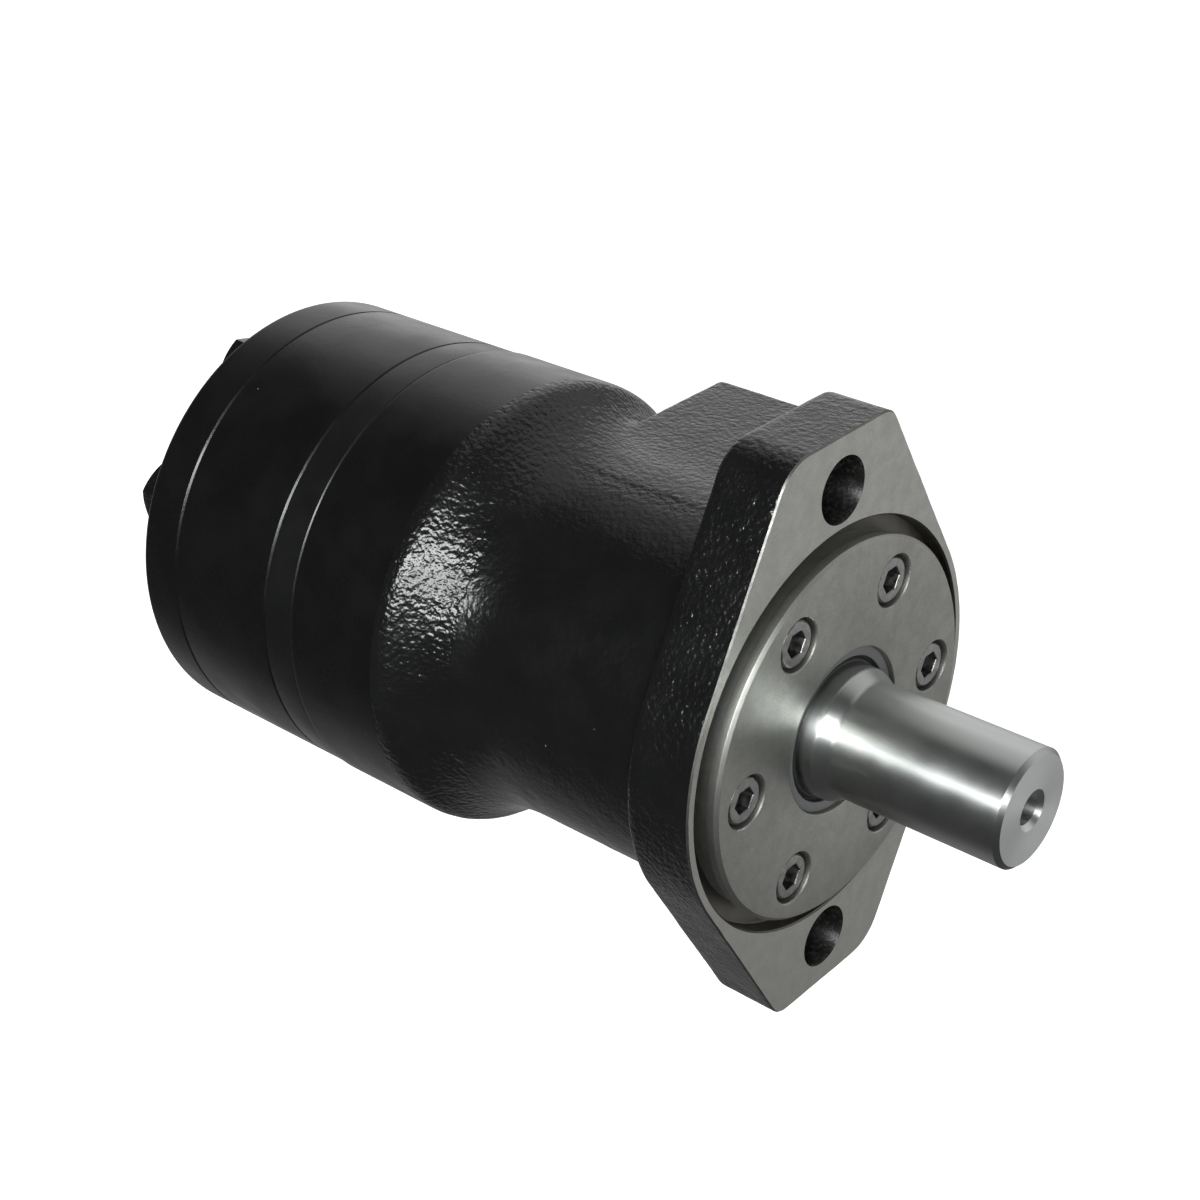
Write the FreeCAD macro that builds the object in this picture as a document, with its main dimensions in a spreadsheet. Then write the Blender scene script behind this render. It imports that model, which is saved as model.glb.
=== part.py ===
"""Orbital (gerotor) hydraulic motor with a two-bolt flange, as a parametric FreeCAD document.

Frame: the origin is the centre of the flange's mounting face, +X runs out along the shaft,
+Z runs along the flange's long side, and the oil ports open towards +Y. Millimetres and degrees.
"""
import FreeCAD, Part
import math
import os
import re
import Sketcher
from FreeCAD import Placement, Rotation, Vector

SIZES = {
    # mounting flange
    "flange_back": -15.5, "flange_round": 46.8, "flange_half_height": 65.0,
    "flange_side_angle": 30.7, "flange_wide_angle": 27.0, "flange_tight_corner": 5.0,
    "flange_wide_corner": 10.0, "flange_wide_side": 47.9, "flange_bolt_spacing": 106.4,
    "flange_bolt_hole": 6.75, "flange_overlap": 1.0,
    "recess_radius": 44.6, "recess_floor": -4.0,
    # front cover and what it holds
    "pilot_radius": 41.25, "cover_face": 2.6, "cover_back": -12.0, "pilot_chamfer": 0.7,
    "seat_radius": 40.6, "cover_seat_play": 0.03,
    "cover_bore": 18.0, "cover_web_radius": 15.0, "dust_pocket_floor": -1.0,
    "seal_pocket_floor": -2.2, "seal_pocket": 19.5, "seal_play": 0.05,
    "screw_circle": 31.8, "screw_count": 6, "screw_phase": 0.8, "screw_shank": 3.0,
    "screw_head": 5.0, "screw_head_length": 6.0, "screw_end": -24.0, "screw_socket": 2.9,
    "screw_rim": 0.45, "screw_socket_depth": 3.2, "screw_play": 0.3, "screw_tap_extra": 2.0,
    "screw_sink": 0.6, "counterbore": 5.7, "thread_play": 0.05,
    "cover_groove_front": -6.6, "cover_groove_width": 2.8, "cover_groove_depth": 2.2,
    "cover_ring_section": 1.08, "cover_ring_play": 0.05,
    # dust wiper, lip seal and the ring behind it
    "wiper_floor_gap": 0.1, "wiper_rim_depth": 1.1, "wiper_rim_width": 1.1,
    "wiper_valley_depth": 2.2, "wiper_valley_side": 1.7, "wiper_lip_depth": 0.5,
    "wiper_lip_width": 0.7, "seal_floor_gap": 0.1, "seal_web_gap": 1.6, "seal_depth": 6.2,
    "seal_rim_width": 1.4, "seal_valley_depth": 2.4, "seal_valley_gap": 2.4,
    "seal_tip_depth": 6.0, "seal_tip_gap": 1.1, "seal_edge_back": 5.2, "seal_edge_front": 4.0,
    "backing_gap": 0.1, "backing_clear": 0.3, "backing_end_gap": 0.2,
    # housing
    "neck_radius": 41.8, "shoulder_start": -55.3, "shoulder_hollow": 31.0,
    "shoulder_crest": -76.53, "crest_radius": 50.21, "shoulder_round": 4.0, "shoulder_end": -79.27,
    "barrel_radius": 51.3, "housing_back": -105.5,
    "bearing_bore": 26.6, "bearing_bore_end": -23.5, "spool_bore": 20.0,
    "block_back": -67.8, "block_top": 48.6, "block_half_width": 41.0,
    "corner_relief_depth": 3.5, "corner_relief_inner": 24.0, "corner_relief_undercut": 0.5,
    "corner_relief_past": 1.0,
    "port_centre": -46.0, "port_side": 18.0, "port_thread": 9.3, "port_a_depth": 15.0,
    "port_b_depth": 14.5,
    "spot_radius": 13.5, "spot_depth": 0.5, "gallery_radius": 4.0, "gallery_shift": 7.0,
    "gallery_side": 14.0, "gallery_end": 17.0, "oil_groove_radius": 23.5, "oil_groove_half": 3.5,
    "oil_groove_shift": 9.5, "window_radius": 4.3, "window_circle": 24.0, "window_half": 2.5,
    "manifold_thread": 3.4, "manifold_depth": 13.0, "manifold_along": 36.0,
    "manifold_across": 68.0,
    "drain_centre": -26.0, "drain_thread": 5.7, "drain_depth": 13.0, "drain_seat": 9.2,
    "drain_seat_depth": 4.0, "drain_drill": 2.0, "drain_drill_shift": 4.0,
    "drain_break_in": 1.0,
    "plug_head": 8.8, "plug_washer": 8.6, "plug_washer_thickness": 1.0, "plug_sink": 0.3,
    "plug_end_depth": 6.5, "plug_socket_flats": 6.0, "plug_socket_depth": 5.0, "plug_play": 0.1,
    # stack behind the housing
    "plate_back": -114.0, "ring_back": -143.7, "end_face": -155.4, "disc_radius": 51.0,
    "end_round": 1.6, "disc_chamfer": 0.4, "plate_bore": 13.0,
    "bolt_circle": 40.0, "bolt_count": 7, "bolt_phase": 2.13, "bolt_shank": 4.0,
    "bolt_play": 0.3, "bolt_end": -89.0, "bolt_hole_end": -86.0, "bolt_head_flats": 13.0,
    "bolt_head_length": 5.6, "bolt_head_round": 0.3, "bolt_crown_angle": 30.0, "bolt_washer": 8.0,
    "bolt_washer_thickness": 1.6, "bolt_washer_play": 0.2,
    "passage_circle": 28.0, "passage_radius": 2.6, "plate_passage_extra": 0.6,
    "face_seal_circle": 34.1, "face_seal_section": 0.85, "face_groove_half": 1.1,
    "face_groove_depth": 1.75,
    # gear set
    "tooth_circle": 33.0, "tooth_radius": 8.0, "eccentricity": 3.0, "ring_root": 31.6,
    "star_play": 0.12, "star_end_play": 0.04,
    # output shaft with its valve spool
    "shaft_end": 46.2, "shaft_radius": 12.5, "shaft_chamfer": 1.0, "step_outer": 8.0,
    "step_inner": 5.0, "journal_radius": 14.25, "spool_front": -20.0, "spool_back": -100.0,
    "spool_radius": 19.95, "spool_groove": 17.5, "spool_slot_half": 1.7, "spool_slots": 6,
    "spool_hollow": 13.0, "hollow_front": -60.0, "spline_front": -40.0,
    "end_thread": 3.4, "end_thread_depth": 20.0, "end_sink": 4.4, "end_sink_depth": 1.0,
    "key_half": 4.0, "key_start": 9.0, "key_finish": 41.0, "key_depth": 4.0,
    "key_angle": -67.5, "key_end_ease": 0.001,
    # cardan shaft and its splines
    "joint_front": -52.0, "joint_back": -128.8, "spline_count": 12, "spline_root": 8.9,
    "spline_tip": 10.4, "spline_tooth_half": 1.25, "spline_half": 5.0, "spline_play": 0.4,
    "spline_side_play": 0.35, "spline_overlap": 1.0,
    "cardan_shank": 7.4, "cardan_nose": 7.0, "cardan_nose_length": 1.5, "shank_extra": 2.0,
    "spacer_radius": 8.6, "spacer_front": -137.5, "spacer_play": 0.05,
    # thrust bearing
    "washer_inner": 14.6, "washer_outer": 26.0, "washer_thickness": 2.0,
    "front_washer_play": 0.05, "rear_washer_play": 0.05, "roller_radius": 1.97,
    "roller_inner": 17.2,
    "roller_outer": 24.2, "roller_count": 16, "cage_half": 1.6, "cage_inner": 15.6,
    "cage_outer": 25.4, "roller_pocket_play": 0.12,
}

doc = FreeCAD.newDocument("hydraulic_motor")
sheet = doc.addObject("Spreadsheet::Sheet", "Sizes")
for row, (alias, number) in enumerate(SIZES.items(), start=1):
    sheet.set(f"A{row}", alias)
    sheet.set(f"B{row}", str(number))
    sheet.setAlias(f"B{row}", alias)
doc.recompute()

SUB_PARTS = []


def linked(expression):
    """Write an expression's size names as links to the sheet."""
    def link(word):
        return "Sizes." + word[0] if word[0] in SIZES else word[0]

    return re.sub(r"[a-z]\w*", link, expression)


def value(expression):
    """Work an expression out from the sheet."""
    result = sheet.evalExpression(linked(expression))
    return float(getattr(result, "Value", result))


def turn_about_x(degrees):
    return Placement(Vector(), Rotation(Vector(1, 0, 0), degrees))


# ---------------------------------------------------------------- sketches and bodies
def new_body(name):
    body = doc.addObject("PartDesign::Body", name)
    body.Label = name
    SUB_PARTS.append(body)
    return body


def new_sketch(body, name, plane, level="0"):
    """A sketch on one of the body's own planes, moved along the plane's normal to a level."""
    sketch = body.newObject("Sketcher::SketchObject", name)
    support = [feature for feature in body.Origin.OriginFeatures if feature.Role == plane][0]
    sketch.AttachmentSupport = [(support, "")]
    sketch.MapMode = "FlatFace"
    if level != "0":
        sketch.setExpression("AttachmentOffset.Base.z", linked(level))
    return sketch


def pin_down(sketch, geometry, end, across, up):
    """Tie one point of a sketch to the sheet, by its two distances from the origin."""
    for kind, axis, distance in (("DistanceX", -2, across), ("DistanceY", -1, up)):
        if distance == "0":
            sketch.addConstraint(Sketcher.Constraint("PointOnObject", geometry, end, axis))
        else:
            number = sketch.addConstraint(
                Sketcher.Constraint(kind, -1, 1, geometry, end, value(distance)))
            sketch.setExpression(f"Constraints[{number}]", linked(distance))


def draw_outline(sketch, corners, arcs=None):
    """Close a loop through the corners. arcs gives a side's radius and which way it bulges."""
    arcs = arcs or {}
    points = [Vector(value(across), value(up), 0) for across, up in corners]
    ends = []
    for side, start in enumerate(points):
        finish = points[(side + 1) % len(points)]
        if side not in arcs:
            geometry = sketch.addGeometry(Part.LineSegment(start, finish))
            ends.append((geometry, 1, 2))
            continue
        radius_size, bulge = arcs[side]
        radius = value(radius_size)
        chord = finish - start
        normal = Vector(-chord.y, chord.x, 0).normalize()
        depth = math.sqrt(radius ** 2 - (chord.Length / 2) ** 2)
        centre = (start + finish) * 0.5 - normal * (bulge * depth)
        first, last = (start, finish) if bulge < 0 else (finish, start)
        angles = [math.atan2((point - centre).y, (point - centre).x) for point in (first, last)]
        circle = Part.Circle(centre, Vector(0, 0, 1), radius)
        geometry = sketch.addGeometry(Part.ArcOfCircle(circle, *angles))
        number = sketch.addConstraint(Sketcher.Constraint("Radius", geometry, radius))
        sketch.setExpression(f"Constraints[{number}]", linked(radius_size))
        ends.append((geometry, 1, 2) if bulge < 0 else (geometry, 2, 1))
    for side, (geometry, start_end, finish_end) in enumerate(ends):
        following, next_start, _ = ends[(side + 1) % len(ends)]
        sketch.addConstraint(
            Sketcher.Constraint("Coincident", geometry, finish_end, following, next_start))
        pin_down(sketch, geometry, start_end, *corners[side])


def draw_circle(sketch, across, up, radius):
    centre = Vector(value(across), value(up), 0)
    geometry = sketch.addGeometry(Part.Circle(centre, Vector(0, 0, 1), value(radius)))
    number = sketch.addConstraint(Sketcher.Constraint("Radius", geometry, value(radius)))
    sketch.setExpression(f"Constraints[{number}]", linked(radius))
    if (across, up) == ("0", "0"):
        sketch.addConstraint(Sketcher.Constraint("Coincident", geometry, 3, -1, 1))
    else:
        pin_down(sketch, geometry, 3, across, up)


def turned(name, corners, arcs=None):
    """A body turned about the X axis; each corner is a place along X and a radius."""
    body = new_body(name)
    sketch = new_sketch(body, name + "_profile", "XY_Plane")
    draw_outline(sketch, corners, arcs)
    revolution = body.newObject("PartDesign::Revolution", name + "_turning")
    revolution.Profile = sketch
    revolution.ReferenceAxis = (sketch, ["H_Axis"])
    revolution.Angle = 360
    doc.recompute()
    return body


def repeat(body, feature, sketch, count):
    """Repeat a feature round the X axis."""
    if count == "1":
        return
    pattern = body.newObject("PartDesign::PolarPattern", feature.Name + "_pattern")
    pattern.Originals = [feature]
    pattern.Axis = (sketch, ["N_Axis"])
    pattern.Angle = 360
    pattern.setExpression("Occurrences", linked(count))
    body.Tip = pattern
    doc.recompute()


def add(body, sketch, length, forward, count="1"):
    """Pad a sketch, and check that material was added."""
    before = body.Shape.Volume if body.Tip else 0.0
    pad = body.newObject("PartDesign::Pad", sketch.Name + "_pad")
    pad.Profile = sketch
    pad.setExpression("Length", linked(length))
    pad.Reversed = not forward
    doc.recompute()
    repeat(body, pad, sketch, count)
    if body.Shape.Volume <= before:
        raise RuntimeError(f"{pad.Name} adds nothing")


def cut(body, sketch, depth, forward=False, count="1"):
    """Pocket a sketch, away from its plane's normal unless forward, and check the volume."""
    before = body.Shape.Volume
    pocket = body.newObject("PartDesign::Pocket", sketch.Name + "_cut")
    pocket.Profile = sketch
    pocket.setExpression("Length", linked(depth))
    pocket.Reversed = forward
    doc.recompute()
    repeat(body, pocket, sketch, count)
    if body.Shape.Volume >= before:
        raise RuntimeError(f"{pocket.Name} cuts nothing")


def bore(body, name, level, depth, radius, circle="0", phase="0", count="1"):
    """Round holes along X, from a level towards -X, spaced evenly on a circle."""
    sketch = new_sketch(body, name, "YZ_Plane", level)
    centre = ("0", "0") if circle == "0" else (f"{circle} * cos({phase})", f"{circle} * sin({phase})")
    draw_circle(sketch, *centre, radius)
    cut(body, sketch, depth, count=count)


def face_groove(body, name, level, forward):
    """The round groove for a face seal, cut from a level."""
    sketch = new_sketch(body, name, "YZ_Plane", level)
    draw_circle(sketch, "0", "0", "face_seal_circle + face_groove_half")
    draw_circle(sketch, "0", "0", "face_seal_circle - face_groove_half")
    cut(body, sketch, "face_groove_depth", forward)


def port_hole(body, name, along, across, radius, depth, level="block_top"):
    """A round hole that opens towards +Y, from a level down."""
    sketch = new_sketch(body, name, "XZ_Plane", f"-({level})")
    draw_circle(sketch, along, across, radius)
    cut(body, sketch, depth, forward=True)


def plain_feature(name, shape):
    """A sub-part whose shape is made by Part's own functions."""
    feature = doc.addObject("Part::Feature", name)
    feature.Label = name
    feature.Shape = shape
    SUB_PARTS.append(feature)
    return feature


def round_the_axis(shape, circle, count, phase):
    """Copies of a shape, spaced evenly on a circle round the X axis."""
    out_to_circle = Placement(Vector(0, circle, 0), Rotation())
    copies = []
    for number in range(int(count)):
        copy = shape.copy()
        copy.Placement = turn_about_x(phase + 360 * number / count) * out_to_circle
        copies.append(copy)
    return Part.makeCompound(copies)


def rod(radius, start, finish):
    """A cylinder along X between two places."""
    foot = Vector(min(start, finish), 0, 0)
    return Part.makeCylinder(radius, abs(finish - start), foot, Vector(1, 0, 0))


def hexagon_bar(flats, start, finish):
    """A hexagonal bar along X, across its flats."""
    corner = flats / math.sqrt(3)
    angles = [step * math.pi / 3 for step in range(7)]
    points = [Vector(start, corner * math.cos(angle), corner * math.sin(angle)) for angle in angles]
    return Part.Face(Part.makePolygon(points)).extrude(Vector(finish - start, 0, 0))


def o_ring(name, place, circle, section):
    """A rubber ring as a parametric torus round the X axis."""
    ring = doc.addObject("Part::Torus", name)
    ring.Label = name
    ring.setExpression("Radius1", linked(circle))
    ring.setExpression("Radius2", linked(section))
    ring.Placement = Placement(Vector(), Rotation(Vector(0, 1, 0), 90))
    ring.setExpression("Placement.Base.x", linked(place))
    SUB_PARTS.append(ring)


# ---------------------------------------------------------------- housing
def flange_outline(sketch):
    """Two ears with a flat end each; opposite corners of the flange have the same rounding."""
    side_y, side_z = "cos(flange_side_angle)", "sin(flange_side_angle)"
    end = "flange_half_height"

    def corner_centre(side, corner):
        return f"({side} - {corner} - {side_z} * ({end} - {corner})) / {side_y}"

    tight, wide = "flange_tight_corner", "flange_wide_corner"
    tight_y = corner_centre("flange_round", tight)
    wide_y = corner_centre("flange_wide_side", wide)
    half = [
        (f"flange_round * {side_y}", f"flange_round * {side_z}"),
        (f"{tight_y} + {tight} * {side_y}", f"{end} - {tight} + {tight} * {side_z}"),
        (tight_y, end),
        (f"-({wide_y})", end),
        (f"-({wide_y} + {wide} * {side_y})", f"{end} - {wide} + {wide} * {side_z}"),
        ("-flange_round * cos(flange_wide_angle)", "flange_round * sin(flange_wide_angle)"),
    ]
    corners = half + [(f"-({across})", f"-({up})") for across, up in half]
    arcs = {}
    for first in (0, 6):
        arcs[first + 1] = (tight, -1)
        arcs[first + 3] = (wide, -1)
        arcs[first + 5] = ("flange_round", -1)
    draw_outline(sketch, corners, arcs)


def relieve_block_corners(body):
    """Cut the block's front corners back where they would stand outside the flange."""
    outer, past = "(block_half_width + corner_relief_past)", "block_top + corner_relief_past"

    def side(up):
        along_side = f"(flange_round - {up} * sin(flange_side_angle)) / cos(flange_side_angle)"
        return f"{along_side} - corner_relief_undercut"

    for name, sign in (("upper", "1"), ("lower", "-1")):
        corner = new_sketch(body, f"corner_relief_{name}", "YZ_Plane", "flange_back")
        draw_outline(corner, [
            (side(outer), f"{sign} * {outer}"),
            (side("corner_relief_inner"), f"{sign} * corner_relief_inner"),
            (past, f"{sign} * corner_relief_inner"), (past, f"{sign} * {outer}")])
        cut(body, corner, "corner_relief_depth")


def make_housing():
    """One casting: barrel, hollow shoulder, neck, flange and port block, with its bores."""
    body = turned("housing", [
        ("flange_back + flange_overlap", "spool_bore"), ("flange_back + flange_overlap", "neck_radius"),
        ("shoulder_start", "neck_radius"), ("shoulder_crest", "crest_radius"),
        ("shoulder_end", "barrel_radius"),
        ("housing_back + disc_chamfer", "barrel_radius"),
        ("housing_back", "barrel_radius - disc_chamfer"), ("housing_back", "spool_bore")],
        {2: ("shoulder_hollow", 1), 3: ("shoulder_round", -1)})
    flange = new_sketch(body, "flange_outline", "YZ_Plane")
    flange_outline(flange)
    add(body, flange, "-flange_back", forward=False)
    block = new_sketch(body, "port_block", "YZ_Plane", "block_back")
    draw_outline(block, [("0", "-block_half_width"), ("block_top", "-block_half_width"),
                         ("block_top", "block_half_width"), ("0", "block_half_width")])
    add(body, block, "flange_back - block_back", forward=True)
    relieve_block_corners(body)

    bore(body, "recess", "0", "-recess_floor", "recess_radius")
    bore(body, "cover_seat", "recess_floor", "recess_floor - cover_back", "seat_radius + cover_seat_play")
    bore(body, "bearing_room", "cover_back", "cover_back - bearing_bore_end", "bearing_bore")
    bore(body, "spool_room", "bearing_bore_end", "bearing_bore_end - housing_back", "spool_bore")
    for name, side in (("front", "+"), ("rear", "-")):
        bore(body, f"oil_groove_{name}", f"port_centre {side} oil_groove_shift + oil_groove_half",
             "2 * oil_groove_half", "oil_groove_radius")
    bore(body, "window", "port_centre + window_half", "2 * window_half", "window_radius",
         "window_circle", "bolt_phase", "bolt_count")
    bore(body, "passage", "port_centre", "port_centre - housing_back", "passage_radius",
         "passage_circle", "bolt_phase", "bolt_count")
    bore(body, "screw_thread", "cover_back", "cover_back - screw_end + screw_tap_extra",
         "screw_shank + thread_play", "screw_circle", "screw_phase", "screw_count")
    end_thread = new_sketch(body, "end_bolt_thread", "YZ_Plane", "housing_back")
    draw_circle(end_thread, "bolt_circle * cos(bolt_phase)", "bolt_circle * sin(bolt_phase)",
                "bolt_shank + thread_play")
    cut(body, end_thread, "bolt_hole_end - housing_back", forward=True, count="bolt_count")
    for name, side in (("upper", "0.5"), ("lower", "-0.5")):
        hole = new_sketch(body, f"flange_hole_{name}", "YZ_Plane")
        draw_circle(hole, "0", f"{side} * flange_bolt_spacing", "flange_bolt_hole")
        cut(body, hole, "-flange_back")
    face_groove(body, "housing_seal_groove", "housing_back", forward=True)

    for name, side in (("a", "1"), ("b", "-1")):
        across = f"{side} * port_side"
        floor = f"block_top - port_{name}_depth"
        port_hole(body, f"port_{name}_spot", "port_centre", across, "spot_radius", "spot_depth")
        port_hole(body, f"port_{name}", "port_centre", across, "port_thread", f"port_{name}_depth")
        port_hole(body, f"gallery_{name}", f"port_centre + {side} * gallery_shift",
                  f"{side} * gallery_side", "gallery_radius", f"{floor} - gallery_end", floor)
    for number, (along, across) in enumerate(((1, 1), (1, -1), (-1, -1), (-1, 1)), start=1):
        port_hole(body, f"manifold_hole_{number}", f"port_centre + {along} * manifold_along / 2",
                  f"{across} * manifold_across / 2", "manifold_thread", "manifold_depth")
    port_hole(body, "drain_seat", "drain_centre", "0", "drain_seat", "drain_seat_depth")
    port_hole(body, "drain_thread", "drain_centre", "0", "drain_thread + thread_play", "drain_depth")
    port_hole(body, "drain_drilling", "drain_centre + drain_drill_shift", "0", "drain_drill",
              "block_top - drain_depth - bearing_bore + drain_break_in", "block_top - drain_depth")


def make_drain_plug():
    """A flush plug with a hexagon socket, and the soft washer under its head."""
    seat = value("block_top - drain_seat_depth")
    washer_top = seat + value("plug_washer_thickness")
    up = Vector(0, 1, 0)
    place = Vector(value("drain_centre"), 0, 0)

    def post(radius, low, high):
        return Part.makeCylinder(radius, high - low, place + up * low, up)

    hole = post(value("drain_thread + plug_play"), seat, washer_top)
    plain_feature("drain_plug_washer", post(value("plug_washer"), seat, washer_top).cut(hole))
    top = value("block_top - plug_sink")
    thread = post(value("drain_thread"), seat - value("plug_end_depth"), washer_top)
    plug = post(value("plug_head"), washer_top, top).fuse(thread)
    socket = hexagon_bar(value("plug_socket_flats"), 0, value("plug_socket_depth"))
    socket.Placement = Placement(place + up * top, Rotation(Vector(0, 0, 1), -90))
    plain_feature("drain_plug", plug.cut(socket).removeSplitter())


# ---------------------------------------------------------------- front cover and seals
def make_front_cover():
    """The disc that closes the front; its rim is the pilot, its bore holds the seals."""
    groove_floor = "seat_radius - cover_groove_depth"
    groove_back = "cover_groove_front - cover_groove_width"
    body = turned("front_cover", [
        ("cover_face", "cover_bore"), ("cover_face", "pilot_radius - pilot_chamfer"),
        ("cover_face - pilot_chamfer", "pilot_radius"), ("0", "pilot_radius"), ("0", "seat_radius"),
        ("cover_groove_front", "seat_radius"), ("cover_groove_front", groove_floor),
        (groove_back, groove_floor), (groove_back, "seat_radius"),
        ("cover_back", "seat_radius"), ("cover_back", "seal_pocket"),
        ("seal_pocket_floor", "seal_pocket"), ("seal_pocket_floor", "cover_web_radius"),
        ("dust_pocket_floor", "cover_web_radius"), ("dust_pocket_floor", "cover_bore")])
    bore(body, "counterbores", "cover_face", "screw_sink + screw_head_length", "counterbore",
         "screw_circle", "screw_phase", "screw_count")
    bore(body, "screw_holes", "cover_face", "cover_face - cover_back", "screw_shank + screw_play",
         "screw_circle", "screw_phase", "screw_count")
    o_ring("front_cover_o_ring", "cover_groove_front - cover_groove_width / 2",
           "seat_radius + cover_seat_play - cover_ring_play - cover_ring_section", "cover_ring_section")


def make_cover_screws():
    """Socket head screws, their heads just under the cover's face."""
    top = value("cover_face - screw_sink")
    under_head = top - value("screw_head_length")
    head = rod(value("screw_head"), under_head, top)
    rims = [edge for edge in head.Edges if abs(edge.CenterOfMass.x - top) < 1e-6]
    head = head.makeChamfer(value("screw_rim"), rims)
    shank = rod(value("screw_shank"), value("screw_end"), under_head)
    socket_floor = top - value("screw_socket_depth")
    flats = 2 * value("screw_socket") * math.cos(math.pi / 6)
    socket = hexagon_bar(flats, socket_floor, top)
    foot = Part.makeCone(flats / 2, 0.0, flats / 4, Vector(socket_floor, 0, 0), Vector(-1, 0, 0))
    screw = head.fuse(shank).cut(socket).cut(foot).removeSplitter()
    plain_feature("front_cover_screws",
                  round_the_axis(screw, value("screw_circle"), value("screw_count"), value("screw_phase")))


def make_seals():
    """Dust wiper, pressure lip seal and its backing ring, round the shaft's journal."""
    lip, back = "journal_radius + seal_play", "dust_pocket_floor + wiper_floor_gap"
    outside, rim = "cover_bore - seal_play", "cover_face - wiper_rim_depth"
    turned("dust_seal", [
        (back, lip), (back, outside), (rim, outside), (rim, "cover_bore - wiper_rim_width"),
        ("cover_face - wiper_valley_depth", "cover_bore - wiper_valley_side"),
        ("cover_face - wiper_lip_depth", "journal_radius + wiper_lip_width"),
        ("cover_face - wiper_lip_depth", lip)])
    front, back = "seal_pocket_floor - seal_floor_gap", "seal_pocket_floor - seal_depth"
    outside = "seal_pocket - seal_play"
    turned("shaft_seal", [
        (front, "journal_radius + seal_web_gap"), (front, outside), (back, outside),
        (back, "seal_pocket - seal_rim_width"),
        ("seal_pocket_floor - seal_valley_depth", "journal_radius + seal_valley_gap"),
        ("seal_pocket_floor - seal_tip_depth", "journal_radius + seal_tip_gap"),
        ("seal_pocket_floor - seal_edge_back", lip), ("seal_pocket_floor - seal_edge_front", lip)])
    hole, end = "journal_radius + backing_clear", "cover_back + backing_end_gap"
    turned("seal_backing_ring", [
        (f"{back} - backing_gap", hole), (f"{back} - backing_gap", outside), (end, outside), (end, hole)])


# ---------------------------------------------------------------- thrust bearing
def make_thrust_bearing():
    """Two hardened washers with a cage of radial rollers between them."""
    rim, track = "bearing_bore - front_washer_play", "cover_back - washer_thickness"
    turned("thrust_washer_front", [
        ("cover_back", "washer_inner"), ("cover_back", rim), (track, rim), (track, "washer_inner")])
    hole, track = "journal_radius + rear_washer_play", "spool_front + washer_thickness"
    turned("thrust_washer_rear", [
        (track, hole), (track, "washer_outer"), ("spool_front", "washer_outer"), ("spool_front", hole)])
    middle = "(cover_back + spool_front) / 2"
    cage = turned("thrust_bearing_cage", [
        (f"{middle} + cage_half", "cage_inner"), (f"{middle} + cage_half", "cage_outer"),
        (f"{middle} - cage_half", "cage_outer"), (f"{middle} - cage_half", "cage_inner")])
    pocket = new_sketch(cage, "roller_pocket", "YZ_Plane", f"{middle} + cage_half")
    half, play = "roller_radius + roller_pocket_play", "roller_pocket_play"
    draw_outline(pocket, [
        (f"roller_inner - {play}", f"-({half})"), (f"roller_outer + {play}", f"-({half})"),
        (f"roller_outer + {play}", half), (f"roller_inner - {play}", half)])
    cut(cage, pocket, "2 * cage_half", count="roller_count")
    roller = Part.makeCylinder(value("roller_radius"), value("roller_outer - roller_inner"),
                               Vector(value(middle), 0, 0), Vector(0, 1, 0))
    plain_feature("thrust_bearing_rollers",
                  round_the_axis(roller, value("roller_inner"), value("roller_count"), 0.0))


# ---------------------------------------------------------------- output shaft and cardan
def spline_slots(body, name, level, depth):
    """The slots of an internal spline, cut from a level towards -X."""
    sketch = new_sketch(body, name, "YZ_Plane", level)
    half, foot = "spline_tooth_half + spline_side_play", "spline_root - spline_overlap"
    draw_outline(sketch, [(foot, f"-({half})"), ("spline_tip + spline_play", f"-({half})"),
                          ("spline_tip + spline_play", half), (foot, half)])
    cut(body, sketch, depth, count="spline_count")


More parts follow.
